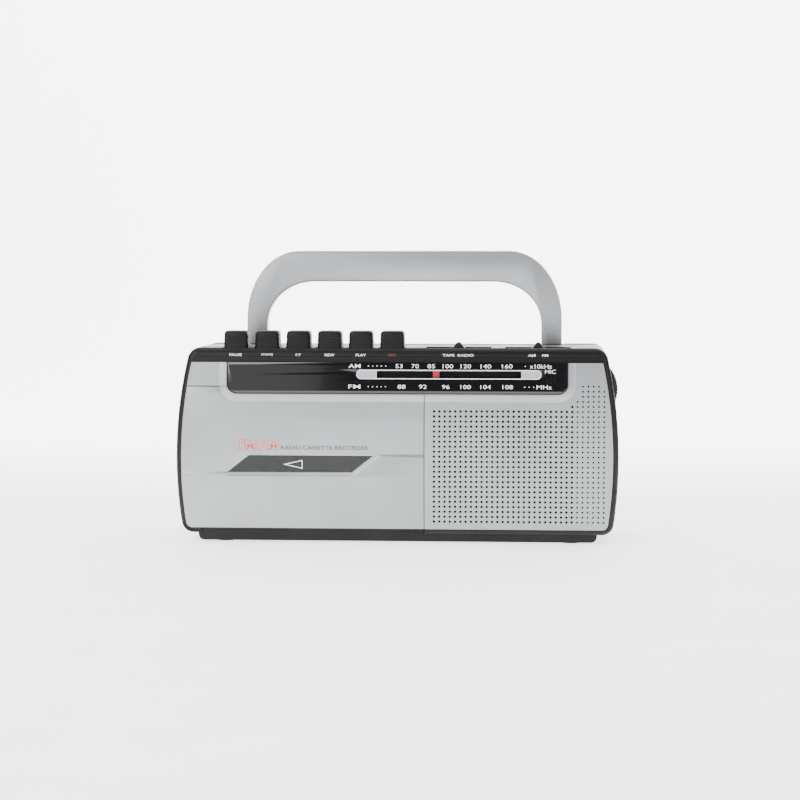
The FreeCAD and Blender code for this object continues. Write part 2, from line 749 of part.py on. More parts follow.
def tuning():
    wheel = turned("TuningWheelBody", "y", [
        ("3.05", "0"), ("tuner_radius", "0"), ("tuner_radius", "tuner_back - tuner_front"),
        ("3.05", "tuner_back - tuner_front")], TUNER_X, "tuner_front", "tuner_z")
    drum = turned("CordDrum", "y", [
        ("0", "0"), ("drum_radius - 0.1", "0"), ("drum_radius - 0.1", "tuner_front - cord_y + 0.6"),
        ("0", "tuner_front - cord_y + 0.6")], TUNER_X, "cord_y - 0.5", "tuner_z")
    node("tuning_wheel", union("TuningWheel", [wheel, drum]))
    body = block("TunerCan", f"{TUNER_X} - 10", f"{TUNER_X} + 10", "tuner_back + 5", "board_y - seat_gap",
                 "tuner_z - 10", "tuner_z + 10")
    shaft = rod("TunerShaft", "-y", TUNER_X, "tuner_back + 5.1", "tuner_z", "3", "8.6")
    node("tuning_capacitor", union("TuningCapacitor", [body, shaft]))
    node("dial_cord", band("DialCord", [
        (TUNER_X, "tuner_z", "drum_radius", 1),
        ("pulley_x", f"{CORD_TOP} - pulley_radius", "pulley_radius + 0.05", 1),
        ("guide_x", f"{CORD_TOP} - 2*pulley_radius - guide_radius", "guide_radius + 0.85", -1),
    ], "cord_width", "cord_y - cord_width/2", "cord_width"))
    pointer = union("DialPointer", [
        block("Needle", "pointer_x - pointer_width/2", "pointer_x + pointer_width/2", "-30.3", "-29.6",
              "83.0", "89.4"),
        block("PointerArm", "pointer_x - 1.2", "pointer_x + 1.2", "-30.3", "cord_y + 0.6", "88.2",
              "89.4"),
        block("PointerClip", "pointer_x - 2.5", "pointer_x + 2.5", "cord_y - 0.5", "cord_y + 0.6", "86.6",
              f"{CORD_TOP} - 0.35"),
    ])
    node("dial_pointer", pointer)


def volume():
    wheel = turned("VolumeWheel", "y", [
        ("2.05", "0"), ("volume_radius", "0"), ("volume_radius", "volume_back - volume_front"),
        ("2.05", "volume_back - volume_front")], VOLUME_X, "volume_front", "volume_z")
    node("volume_wheel", wheel)
    node("volume_potentiometer", union("VolumePot", [
        rod("PotBody", "y", VOLUME_X, "volume_back + 0.4", "volume_z", "6.4", "6 - seat_gap"),
        rod("PotShaft", "-y", VOLUME_X, "volume_back + 0.5", "volume_z", "2", "4.8"),
    ]))


def keys():
    names = ["pause_key", "stop_eject_key", "fast_forward_key", "rewind_key", "play_key", "record_key"]
    for number, name in enumerate(names):
        x = key_x(number)
        prefix = name.title().replace("_", "")
        top = "case_top + key_rise"
        skirt = "case_top - shell_wall - 0.5"
        cap = padded(prefix + "Cap", "XZ_Plane", [
            ("-key_width/2", skirt), ("key_width/2", skirt), ("key_width/2 - 0.45", top),
            ("0.45 - key_width/2", top)], "key_back - key_front", x=x, y="key_back")
        rounded(cap, "1.6", lambda middle, edge: middle.z > evaluate(top) - 0.1)
        stem = block(prefix + "Stem", f"{x} - stem_width/2", f"{x} + stem_width/2", "stem_front",
                     "stem_back", "86", f"{skirt} + 0.5")
        lever = union(prefix + "Lever", [
            block(prefix + "Arm", f"{x} - lever_width/2", f"{x} + lever_width/2", "stem_front", "-10.4",
                  "86", "88.6"),
            block(prefix + "Tail", f"{x} - lever_width/2", f"{x} + lever_width/2",
                  "chassis_y + chassis_thick + 0.9", "-10.4", "66", "88.6"),
        ])
        node(name, union(prefix, [cap, stem, lever]))


def sliders():
    housings = []
    for name, x in (("function_slider", "function_x"), ("band_slider", "band_x")):
        prefix = name.title().replace("_", "")
        floor = "case_top - dish_depth"
        knob = padded(prefix + "Knob", "XZ_Plane", [
            ("-slider_width/2", f"{floor} + 0.3"), ("slider_width/2", f"{floor} + 0.3"),
            ("slider_width/2", f"{floor} + 1"), ("0.6", "case_top + slider_rise"),
            ("-0.6", "case_top + slider_rise"), ("-slider_width/2", f"{floor} + 1")],
            "dish_width - 3", x=x, y="slider_y + dish_width/2 - 1.5")
        stem = block(prefix + "Stem", f"{x} - 1.2", f"{x} + 1.2", "slider_y - 1", "slider_y + 1",
                     f"{floor} - 6.4", f"{floor} + 0.5")
        node(name, union(prefix, [knob, stem]))
        case = block(prefix + "Case", f"{x} - slider_travel - 2.2", f"{x} + slider_travel + 2.2",
                     "slider_y - 3", "slider_y + 3", f"{floor} - 10",
                     f"{floor} - dish_pad - seat_gap")
        space = block(prefix + "Space", f"{x} - slider_travel - 1.6", f"{x} + slider_travel + 1.6",
                      "slider_y - 1.4", "slider_y + 1.4", f"{floor} - 7", floor)
        housings.append(subtract(prefix + "Housing", case, [space]))
    node("switch_housings", group("SwitchHousings", housings))


def speaker():
    seat = f"({FRONT} + {INNER_WALL} + 1.85)"
    frame = turned("SpeakerFrame", "y", [
        ("speaker_radius - 3", "0"), ("speaker_radius", "0"), ("speaker_radius", "1.2"),
        ("speaker_radius - 1.8", "1.2"), ("magnet_radius + 0.5", "13.4"), ("8", "13.4"), ("8", "12.2"),
        ("magnet_radius - 0.2", "12.2"), ("speaker_radius - 3", "0.6")], "speaker_x", seat, "speaker_z")
    node("speaker_frame", frame)
    cone = turned("SpeakerCone", "y", [
        ("0", "5.4"), ("5.5", "6.2"), ("10", "8.6"), ("speaker_radius - 5.5", "0.3"),
        ("speaker_radius - 3.05", "0.3"), ("speaker_radius - 3.05", "0.55"), ("speaker_radius - 5.2", "1"),
        ("10.4", "10.2"), ("7.6", "10.4"), ("7.6", "13.3"), ("7", "13.3"), ("7", "8"), ("0", "6.6")],
        "speaker_x", seat, "speaker_z")
    node("speaker_cone", cone)
    node("speaker_magnet", rod("SpeakerMagnet", "y", "speaker_x", f"{seat} + 13.4 + seat_gap", "speaker_z",
                               "magnet_radius", "speaker_depth - 13.4"))


def board():
    board_back = "board_y + board_thick"
    node("main_board", block("MainBoard", "15.6", "98", "board_y", board_back, "36", "91"))
    rear = f"{board_back} + seat_gap"
    cans = [rod(f"Capacitor{number}", "y", x, rear, z, radius, length)
            for number, (x, z, radius, length) in enumerate([
                ("22", "45", "4", "12"), ("32", "45", "3.2", "9"), ("22", "56", "3.2", "9"),
                ("31", "55", "2.5", "7"), ("41", "46", "5", "13")])]
    node("board_capacitors", group("BoardCapacitors", cans))
    coils = [block(f"CoilCan{number}", f"{21 + number * 10}", f"{28 + number * 10}", rear, f"{rear} + 9",
                   "66", "73") for number in range(3)]
    node("if_transformers", group("CoilCans", coils))
    middle = f"({rear} + 5.4)"
    node("ferrite_rod", rod("FerriteRod", "x", "20", middle, "83.5", "4", "60"))
    tube = subtract("FerriteTube", rod("FerriteTubeOuter", "x", "26", middle, "83.5", "5.4", "16"),
                    [rod("FerriteTubeBore", "x", "25", middle, "83.5", "4.02", "18")])
    node("ferrite_coil", tube)


def transformer():
    back = f"{RECESS_FLOOR} - shell_wall - seat_gap"
    core = block("CoreBox", "52", "84", f"{back} - 14", back, "44", "72")
    windows = block("CoreWindow", "57", "79", f"{back} - 15", f"{back} + 1", "51", "65")
    leg = block("CoreLeg", "63.5", "72.5", f"{back} - 14", back, "50", "66")
    node("transformer_core", union("TransformerCore", [subtract("CoreFrame", core, [windows]), leg]))
    coil = block("CoilBox", "57.1", "78.9", f"{back} - 18", f"{back} - 0.3", "51.1", "64.9")
    hole = block("CoilHole", "63.4", "72.6", f"{back} - 19", f"{back} + 1", "50", "66")
    node("transformer_winding", group("TransformerWinding", [subtract("WindingPair", coil, [hole])]))


def sockets():
    inlet_front = f"{BACK} - 15"
    inlet = block("InletBox", "inlet_x - 6.5", "inlet_x + 6.5", inlet_front, f"{BACK} - 0.1",
                  "inlet_z - 10.5", "inlet_z + 10.5")
    well = block("InletWell", "inlet_x - 4", "inlet_x + 4", f"{inlet_front} + 3", f"{BACK} + 1",
                 "inlet_z - 8", "inlet_z + 8")
    pins = [rod(f"InletPin{number}", "y", "inlet_x", f"{inlet_front} + 2", f"inlet_z + {offset}", "1.15", "9")
            for number, offset in enumerate((-4.3, 4.3))]
    node("mains_inlet", union("MainsInlet", [subtract("InletHollow", inlet, [well]), *pins]))
    mouth = "(0.15 - case_half + (jack_z - waist_height)^2/(2*side_radius))"
    barrel = rod("JackBarrel", "x", mouth, "jack_y", "jack_z", "4", "8")
    case = block("JackCase", "-106", "-95", "jack_y - 5", "jack_y + 5", "jack_z - 5", "jack_z + 5")
    bore = rod("JackBore", "x", f"{mouth} - 1", "jack_y", "jack_z", "jack_bore", "15")
    node("headphone_jack", subtract("HeadphoneJack", union("JackSolid", [barrel, case]), [bore]))


def mechanism():
    chassis_back = "chassis_y + chassis_thick"
    plate = block("ChassisPlate", "-104.4", "14.4", "chassis_y", chassis_back, "13", "chassis_top")
    holes = [rod(f"SpindleHole{number}", "y", x, "chassis_y - 1", "reel_height", "1.5 + pin_gap", "4")
             for number, x in enumerate(["tape_x - reel_spacing/2", "tape_x + reel_spacing/2"])]
    holes.append(rod("CapstanHole", "y", "capstan_x", "chassis_y - 1", "capstan_z",
                     "capstan_radius + pin_gap", "4"))
    node("mechanism_chassis", subtract("MechanismChassis", plate, holes))
    bracket = block("BracketPlate", "-93", "-3", "bracket_y", "bracket_y + bracket_thick", "42", "82")
    posts = [rod(f"BracketPost{number}", "y", x, f"{chassis_back} + seat_gap", z, "2",
                 f"bracket_y - ({chassis_back}) + 0.2")
             for number, (x, z) in enumerate([
                 ("-90.7", "44.5"), ("-43", "78"), ("-6", "44.5"), ("-10", "78"),
             ])]
    bracket_holes = [
        rod("CapstanBush", "y", "capstan_x", "bracket_y - 1", "capstan_z", "capstan_radius + pin_gap", "4"),
        rod("MotorNose", "y", "motor_x", "bracket_y - 1", "motor_z", "3", "4"),
    ]
    node("flywheel_bracket", subtract("FlywheelBracket", union("BracketSolid", [bracket, *posts]),
                                      bracket_holes))
    motor_front = "(bracket_y + bracket_thick + seat_gap)"
    can = rod("MotorCan", "y", "motor_x", motor_front, "motor_z", "motor_radius", "motor_length")
    nose = rod("MotorBore", "y", "motor_x", f"{motor_front} - 1", "motor_z", "1 + pin_gap", "5")
    node("drive_motor", subtract("DriveMotor", can, [nose]))
    groove = "flywheel_front + 1.8"
    node("motor_pulley", turned("MotorPulley", "y", [
        ("0", "0"), ("motor_pulley_radius", "0"), ("motor_pulley_radius", "1"),
        ("motor_pulley_radius - 0.6", "1"), ("motor_pulley_radius - 0.6", "3.2"),
        ("motor_pulley_radius", "3.2"), ("motor_pulley_radius", "4.2"), ("1", "4.2"), ("1", "11"),
        ("0", "11")], "motor_x", f"{groove} - 1", "motor_z"))
    node("drive_belt", band("DriveBelt", [
        ("motor_x", "motor_z", "motor_pulley_radius - 0.48", 1),
        ("capstan_x", "capstan_z", "flywheel_radius - 0.68", 1),
    ], "belt_thick", f"{groove} + 0.1", "belt_width"))


def flywheel():
    shaft_start = "(head_front - 0.6 - flywheel_front)"
    thickness = "(flywheel_back - flywheel_front)"
    shaft_end = "(bracket_y + bracket_thick - flywheel_front)"
    node("flywheel", turned("Flywheel", "y", [
        ("0", shaft_start), ("capstan_radius", shaft_start), ("capstan_radius", "0"),
        ("flywheel_radius", "0"), ("flywheel_radius", "1.8"), ("flywheel_radius - 0.8", "1.8"),
        ("flywheel_radius - 0.8", "4"), ("flywheel_radius", "4"), ("flywheel_radius", thickness),
        ("capstan_radius", thickness), ("capstan_radius", shaft_end), ("0", shaft_end)],
        "capstan_x", "flywheel_front", "capstan_z"))


def spindles():
    start = "(chassis_y + chassis_thick + 0.9)"
    for name, x in (("takeup_spindle", "(tape_x - reel_spacing/2)"),
                    ("supply_spindle", "(tape_x + reel_spacing/2)")):
        prefix = name.title().replace("_", "")
        core = turned(prefix + "Core", "-y", [
            ("0", "0"), ("3", "0"), ("3", "0.6"), ("1.5", "0.6"), ("1.5", "3.6"), ("9.5", "3.6"),
            ("9.5", "6"), ("4", "6"), ("4", "14.6"), ("2", "16.2"), ("0", "16.2")],
            x, start, "reel_height")
        ribs = [rod(f"{prefix}Rib{number}", "-y", f"{x} + 4*cos({60 * number})", f"{start} - 5.8",
                    f"reel_height + 4*sin({60 * number})", "0.75", "8.6") for number in range(6)]
        node(name, union(prefix, [core, *ribs]))


def head_bridge():
    plate = block("BridgePlate", "-82", "-12", "bridge_y", "bridge_y + chassis_thick", "bridge_low",
                  "bridge_high")
    notch = block("BridgeNotch", "capstan_x - 2.2", "capstan_x + 2.2", "bridge_y - 1", "bridge_y + 3",
                  "bridge_low - 1", "capstan_z + capstan_radius + key_travel + 1")
    lugs = [
        block("HeadLug", "tape_x - 4", "tape_x + 4", "head_back + seat_gap", "bridge_y + 0.2", "76", "79.4"),
        block("EraseLug", "tape_x + 18.5", "tape_x + 23.5", "head_back - 0.95", "bridge_y + 0.2", "76", "78"),
        rod("RollerPin", "-y", "capstan_x", "bridge_y + 0.2", ROLLER_Z, "1", "bridge_y + 0.2 - head_front"),
    ]
    node("head_bridge", union("HeadBridge", [subtract("BridgeCut", plate, [notch]), *lugs]))
    node("record_play_head", block("RecordPlayHead", "tape_x - 6", "tape_x + 6", "head_front",
                                   "head_back", "72.6", "79.4"))
    node("erase_head", block("EraseHead", "tape_x + 17.5", "tape_x + 24.5", "head_front + 0.9",
                             "head_back - 1", "72.8", "78"))
    node("pinch_roller", turned("PinchRoller", "y", [
        ("1 + pin_gap", "0"), ("roller_radius", "0"), ("roller_radius", "head_back - head_front"),
        ("1 + pin_gap", "head_back - head_front")], "capstan_x", "head_front + 0.2", ROLLER_Z))


def cassette_door():
    sheet_piece = skin_layer("Door", "0", "skin", "-case_half", "door_right - 0.15", "silver_bottom",
                             "door_top")
    trimmed = overlap("DoorTrimmed", [sheet_piece, silver_edge("DoorEdge")])
    under_dial = block("DoorDialNotch", "dial_left - 0.3", "case_half", f"{FRONT} - 1", "0",
                       "dial_bottom - 0.3", "case_top")
    window = window_prism("WindowCut", "0")
    node("door_cover", subtract("DoorCover", trimmed, [under_dial, window]))
    glass = skin_layer("Glass", "0.3", "skin - 0.3", "window_left", "window_right", "window_low - 1",
                       "window_high + 1")
    node("door_window", overlap("DoorWindow", [glass, window_prism("WindowFit", "seat_gap")]))
    back = "tape_back + 1"
    left = f"({POCKET_LEFT} + 2)"
    right = f"({POCKET_RIGHT} - 1)"
    shelf = "tape_bottom - 1.1"
    frame = [
        block("HolderLeft", left, f"{left} + 2", FRONT, back, shelf, "71"),
        block("HolderRight", f"{right} - 2", right, FRONT, back, shelf, "71"),
        block("HolderShelf", left, right, FRONT, back, shelf, f"{shelf} + 0.8"),
        block("HolderLipLeft", left, f"{left} + 5", "tape_back + 0.2", back, "14", "60"),
        block("HolderLipRight", f"{right} - 5", right, "tape_back + 0.2", back, "14", "60"),
    ]
    pins = [rod("DoorPinLeft", "-x", f"{left} + 1", "hinge_y", "hinge_z", "hinge_pin", "6.2"),
            rod("DoorPinRight", "x", f"{right} - 1", "hinge_y", "hinge_z", "hinge_pin", "5.2")]
    solid = union("HolderSolid", [*frame, *pins])
    node("cassette_holder", overlap("CassetteHolder", [solid, front_limit("Holder", "skin + 5*seat_gap")]))


def window_prism(name, gap):
    """The slanted window, as a prism through the door."""
    return padded(name, "XZ_Plane", [
        (f"window_left + ({gap})*2", f"window_low + ({gap})"),
        (f"window_right - window_slant - ({gap})*2", f"window_low + ({gap})"),
        (f"window_right - ({gap})*2", f"window_high - ({gap})"),
        (f"window_left + window_slant + ({gap})*2", f"window_high - ({gap})")],
        "case_depth/2", y=f"{FRONT} + case_depth/4")


def battery_door():
    plate = block("BatteryPlate", "-2*cell_length - 2", "2*cell_length + 2", f"{BACK} - 1.8", BACK, "8", "33")
    node("battery_door", plate)
    inner = "(2*cell_length + 1)"
    left = union("ContactLeft", [
        block("ContactLeftPlate", f"-{inner} + seat_gap", f"-{inner} + 0.6", "battery_y - 8", "battery_y + 8",
              "battery_z - 8", "battery_z + 8"),
        rod("ContactSpring", "x", f"-{inner} + 0.5", "battery_y", "battery_z", "3.4", "2.6"),
    ])
    right = union("ContactRight", [
        block("ContactRightPlate", f"{inner} - 0.6", f"{inner} - seat_gap", "battery_y - 8", "battery_y + 8",
              "battery_z - 8", "battery_z + 8"),
        rod("ContactButton", "-x", f"{inner} - 0.5", "battery_y", "battery_z", "3", "1.1"),
    ])
    node("battery_contacts", group("BatteryContacts", [left, right]))


def handle():
    half, inner = "handle_half", "(handle_half - handle_leg)"
    low, beam = "(pivot_z - handle_leg/2)", "(handle_top - handle_bar)"
    body = padded("HandleBody", "XZ_Plane", [
        (f"-{inner}", low), (f"-{inner}", beam), (inner, beam), (inner, low), (half, low),
        (half, "handle_top"), (f"-{half}", "handle_top"), (f"-{half}", low)],
        "handle_thick", y="handle_y + handle_thick/2")
    depthwise = Vector(0, 1, 0)
    rounded(body, "handle_outer_corner", lambda middle, edge: runs_along(edge, depthwise)
            and middle.z > size("handle_top") - 1)
    rounded(body, "handle_inner_corner", lambda middle, edge: runs_along(edge, depthwise)
            and abs(middle.z - evaluate(beam)) < 1)
    rounded(body, "handle_leg/2 - 0.1", lambda middle, edge: runs_along(edge, depthwise)
            and middle.z < size("pivot_z"))
    bores = [rod(f"HandleBore{side}", "x", x, "handle_y", "pivot_z", "pivot_radius + pin_gap + 0.03",
                 "handle_leg + 2")
             for side, x in (("Left", f"-{half} - 1"), ("Right", f"{inner} - 1"))]
    node("carry_handle", subtract("CarryHandle", body, bores))
    pins = [rod(f"HandlePin{side}", direction, x, "handle_y", "pivot_z", "pivot_radius",
                "handle_leg + recess_gap + 3")
            for side, x, direction in (("Left", f"-{inner} - 1", "-x"), ("Right", f"{inner} + 1", "x"))]
    node("handle_pivots", group("HandlePivots", pins))


def antenna():
    node("antenna_pin", rod("AntennaPin", "y", "antenna_pivot_x", "antenna_y - 4.8", "antenna_z", "1.1",
                            "9.6"))
    reach = "(antenna_pivot_x - 2)"
    end = f"({reach} - antenna_length)"
    tube = rod("BaseTube", "-x", reach, "antenna_y", "antenna_z", "antenna_radius", "antenna_length")
    knuckle = rod("BaseKnuckle", "y", "antenna_pivot_x", "antenna_y - 2.8", "antenna_z", "3.3", "5.6")
    bore = rod("BaseBore", "x", f"{end} - 1", "antenna_y", "antenna_z",
               "antenna_radius - antenna_step + 0.05",
               "antenna_length - 4")
    pin_bore = rod("KnuckleBore", "y", "antenna_pivot_x", "antenna_y - 4", "antenna_z", "1.15", "8")
    node("antenna_base", subtract("AntennaBase", union("BaseSolid", [tube, knuckle]), [bore, pin_bore]))
    middle_radius = "antenna_radius - antenna_step"
    middle = rod("MiddleTube", "-x", f"{reach} - 6", "antenna_y", "antenna_z", middle_radius,
                 "antenna_length - 3")
    middle_bore = rod("MiddleBore", "x", f"{end} - 5", "antenna_y", "antenna_z",
                      f"{middle_radius} - antenna_step + 0.05", "antenna_length - 4")
    node("antenna_middle", subtract("AntennaMiddle", middle, [middle_bore]))
    node("antenna_tip", union("AntennaTip", [
        rod("TipTube", "-x", f"{reach} - 9", "antenna_y", "antenna_z", f"{middle_radius} - antenna_step",
            "antenna_length - 2"),
        rod("TipKnob", "-x", f"{end} - 6", "antenna_y", "antenna_z", "2.6", "6"),
    ]))


def plinth_and_feet():
    plinth = block("PlinthBox", "-plinth_half", "plinth_half", "-plinth_half_depth", "plinth_half_depth",
                   "plinth_bottom", "shell_bottom - seat_gap")
    node("plinth", filleted("Plinth", plinth, [
        ("3", lambda middle, edge: middle.z < size("plinth_bottom") + 0.1
         and runs_along(edge, Vector(0, 1, 0)))]))
    feet = [rod(f"Foot{number}", "z", f"{x}*(plinth_half - foot_inset)",
                f"{y}*(plinth_half_depth - foot_inset + 3)", "0", "foot_radius", "plinth_bottom - seat_gap")
            for number, (x, y) in enumerate([(-1, -1), (1, -1), (-1, 1), (1, 1)])]
    node("rubber_feet", group("RubberFeet", feet))


def cabinet_screws():
    screws = []
    for number, (x, z) in enumerate(SCREW_PLACES):
        head = rod(f"ScrewHead{number}", "y", x, f"{BACK} - 2.15", z, "2.6", "1.8")
        shank = rod(f"ScrewShank{number}", "y", x, "split_plane - 7", z, "1.45",
                    f"{BACK} - 2 - split_plane + 7")
        screws.append(union(f"Screw{number}", [head, shank]))
    node("cabinet_screws", group("CabinetScrews", screws))


def build():
    cabinet()
    speaker_panel()
    corner_panel()
    dial()
    tuning()
    volume()
    keys()
    sliders()
    speaker()
    board()
    transformer()
    sockets()
    mechanism()
    flywheel()
    spindles()
    head_bridge()
    cassette_door()
    battery_door()
    handle()
    antenna()
    plinth_and_feet()
    cabinet_screws()
    doc.recompute()


def check():
    """Stop if any object failed or any piece is empty or broken."""
    failed = [item.Name for item in doc.Objects if "Invalid" in item.State or "Error" in item.State]
    if failed:
        raise RuntimeError(f"failed objects: {failed}")
    for name, item in nodes.items():
        if item.Shape.isNull() or not item.Shape.isValid():
            raise RuntimeError(f"{name} has no valid shape")


def export():
    os.makedirs("parts", exist_ok=True)
    for name, item in nodes.items():
        item.Shape.exportStep(f"parts/{name}.step")
        print(f"{name:22} solids {len(item.Shape.Solids):2}  volume {item.Shape.Volume:9.1f}")
    print(len(nodes), "pieces")


build()
check()
export()
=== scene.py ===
import json
import math

import bmesh
import bpy
from mathutils import Matrix, Vector
from mathutils.bvhtree import BVHTree


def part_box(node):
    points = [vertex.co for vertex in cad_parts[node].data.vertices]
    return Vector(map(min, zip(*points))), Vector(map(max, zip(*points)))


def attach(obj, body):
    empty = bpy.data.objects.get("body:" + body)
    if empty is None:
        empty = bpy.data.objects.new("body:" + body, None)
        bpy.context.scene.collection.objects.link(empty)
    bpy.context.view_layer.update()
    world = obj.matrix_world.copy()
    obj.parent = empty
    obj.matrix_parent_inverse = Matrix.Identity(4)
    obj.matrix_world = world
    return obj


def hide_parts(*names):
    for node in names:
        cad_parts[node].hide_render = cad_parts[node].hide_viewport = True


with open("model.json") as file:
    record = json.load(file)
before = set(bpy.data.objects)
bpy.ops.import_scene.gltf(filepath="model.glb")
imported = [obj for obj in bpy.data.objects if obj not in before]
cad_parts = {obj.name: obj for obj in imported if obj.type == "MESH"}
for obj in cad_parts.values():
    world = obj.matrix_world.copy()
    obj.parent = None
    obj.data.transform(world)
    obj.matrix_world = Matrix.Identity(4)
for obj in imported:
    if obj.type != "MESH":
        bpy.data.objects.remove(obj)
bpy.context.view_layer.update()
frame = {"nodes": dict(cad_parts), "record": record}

# Sizes are in millimetres. A finished mesh is scaled to metres when it becomes a piece.
MM = 0.001

# The front swells gently: it stands furthest forward at WAIST and falls back above and below it.
FRONT = -36.0
WAIST = 40.0
FRONT_BOW = 760.0

KEYS = ("pause", "stop_eject", "fast_forward", "rewind", "play", "record")
KEY_WORDS = ("PAUSE", "STOP/EJ", "F.F", "REW", "PLAY", "REC")


def corners(node):
    """The lowest and highest corners of a frame node, in millimetres."""
    low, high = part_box(node)
    return low / MM, high / MM


def front_at(z):
    """Where the swelling front of the cabinet is at a height."""
    return FRONT + (z - WAIST) ** 2 / FRONT_BOW


# ---------------------------------------------------------------- camera, lights and floor

VIEW_TURN = math.radians(3.8)
VIEW_RISE = math.radians(3.7)
VIEW_DISTANCE = 1100.0
VIEW_WIDTH = 400.0
VIEW_TARGET = (2.2, FRONT, 72.8)
SENSOR = 36.0
NEAREST_SEEN = 0.01

MIDDLE = (0, 0, 70)
# Each lamp: its name, its place, its width and height, its power, and the place it is aimed at.
LAMPS = (
    ("key_softbox", (-620, -900, 620), (700, 700), 11, MIDDLE),
    ("fill_softbox", (760, -900, 420), (500, 700), 4.0, MIDDLE),
    ("overhead_softbox", (0, 150, 900), (1300, 900), 9, MIDDLE),
    ("low_front_softbox", (0, -1300, 60), (900, 160), 1.5, MIDDLE),
    ("dial_sheen", (-410, -1000, 262), (560, 260), 0.5, (-50, FRONT, 83)),
    ("back_wall_light", (0, 500, 700), (1600, 500), 40, (0, 1500, 200)),
)
AIR_COLOUR = (0.9, 0.93, 1.0, 1)
AIR_STRENGTH = 0.24


def aimed(thing, place, target):
    """Puts a camera or a lamp at a place, looking at a target."""
    thing.location = Vector(place) * MM
    thing.rotation_euler = (Vector(target) - Vector(place)).to_track_quat("-Z", "Y").to_euler()
    bpy.context.scene.collection.objects.link(thing)
    return thing


def make_camera():
    """A long lens, a little to the right of the front and a little above it."""
    target = Vector(VIEW_TARGET)
    level = VIEW_DISTANCE * math.cos(VIEW_RISE)
    aside = level * math.sin(VIEW_TURN)
    forward = -level * math.cos(VIEW_TURN)
    out = Vector((aside, forward, VIEW_DISTANCE * math.sin(VIEW_RISE)))
    lens = bpy.data.cameras.new("studio_camera")
    lens.sensor_width = SENSOR
    lens.lens = SENSOR * VIEW_DISTANCE / VIEW_WIDTH
    lens.clip_start = NEAREST_SEEN
    bpy.context.scene.camera = aimed(bpy.data.objects.new("studio_camera", lens), target + out, target)


def make_lights():
    """Soft lamps round the table, and a faint cool glow from the air."""
    for name, place, size, power, target in LAMPS:
        lamp = bpy.data.lights.new(name, "AREA")
        lamp.shape = "RECTANGLE"
        lamp.size = size[0] * MM
        lamp.size_y = size[1] * MM
        lamp.energy = power
        aimed(bpy.data.objects.new(name, lamp), place, target)
    world = bpy.data.worlds.new("studio_air")
    world.use_nodes = True
    air = world.node_tree.nodes["Background"]
    air.inputs["Color"].default_value = AIR_COLOUR
    air.inputs["Strength"].default_value = AIR_STRENGTH
    bpy.context.scene.world = world


# ---------------------------------------------------------------- shader node groups

def linear(red, green, blue):
    """A colour as the eye names it, from 0 to 255, as the shader wants it."""
    return tuple(
        (c / 255 / 12.92) if c / 255 <= 0.04045 else ((c / 255 + 0.055) / 1.055) ** 2.4
        for c in (red, green, blue)
    ) + (1.0,)


def add(tree, kind, values=None, **settings):
    """Adds a shader node, with its settings and the plain values of its inputs."""
    node = tree.nodes.new("ShaderNode" + kind)
    for name, value in settings.items():
        setattr(node, name, value)
    for name, value in (values or {}).items():
        node.inputs[name].default_value = value
    return node


def wire(tree, *pairs):
    """Links sockets, given as pairs of where a link starts and where it ends."""
    for source, target in pairs:
        tree.links.new(source, target)


def effect(name, inputs, outputs):
    """A shader node group with named sockets. Returns it with its two end nodes."""
    group = bpy.data.node_groups.new(name, "ShaderNodeTree")
    for label, kind, value in inputs:
        socket = group.interface.new_socket(label, in_out="INPUT", socket_type=kind)
        if value is not None:
            socket.default_value = value
    for label, kind in outputs:
        group.interface.new_socket(label, in_out="OUTPUT", socket_type=kind)
    return group, group.nodes.new("NodeGroupInput"), group.nodes.new("NodeGroupOutput")


FLOAT, COLOUR, VECTOR = "NodeSocketFloat", "NodeSocketColor", "NodeSocketVector"


def make_fine_grain():
    """The even, pebbly grain of a moulding or a sprayed coat: one value for height, one for tone."""
    group, start, end = effect(
        "fine_grain",
        [("Vector", VECTOR, None), ("Grains per metre", FLOAT, 1500.0), ("Contrast", FLOAT, 1.0)],
        [("Height", FLOAT), ("Tone", FLOAT)],
    )
    pebbles = add(group, "TexNoise", {"Detail": 2.0, "Roughness": 0.6})
    specks = add(group, "TexVoronoi", feature="F1")
    spread = add(group, "MapRange", {"From Min": 0.3, "From Max": 0.7})
    heights = add(group, "Math", operation="MULTIPLY")
    tones = add(group, "MapRange", {"From Min": 0.0, "From Max": 0.9})
    wire(
        group,
        (start.outputs["Vector"], pebbles.inputs["Vector"]),
        (start.outputs["Grains per metre"], pebbles.inputs["Scale"]),
        (start.outputs["Vector"], specks.inputs["Vector"]),
        (start.outputs["Grains per metre"], specks.inputs["Scale"]),
        (pebbles.outputs["Fac"], spread.inputs["Value"]),
        (spread.outputs["Result"], heights.inputs[0]),
        (start.outputs["Contrast"], heights.inputs[1]),
        (heights.outputs["Value"], end.inputs["Height"]),
        (specks.outputs["Distance"], tones.inputs["Value"]),
        (tones.outputs["Result"], end.inputs["Tone"]),
    )
    return group


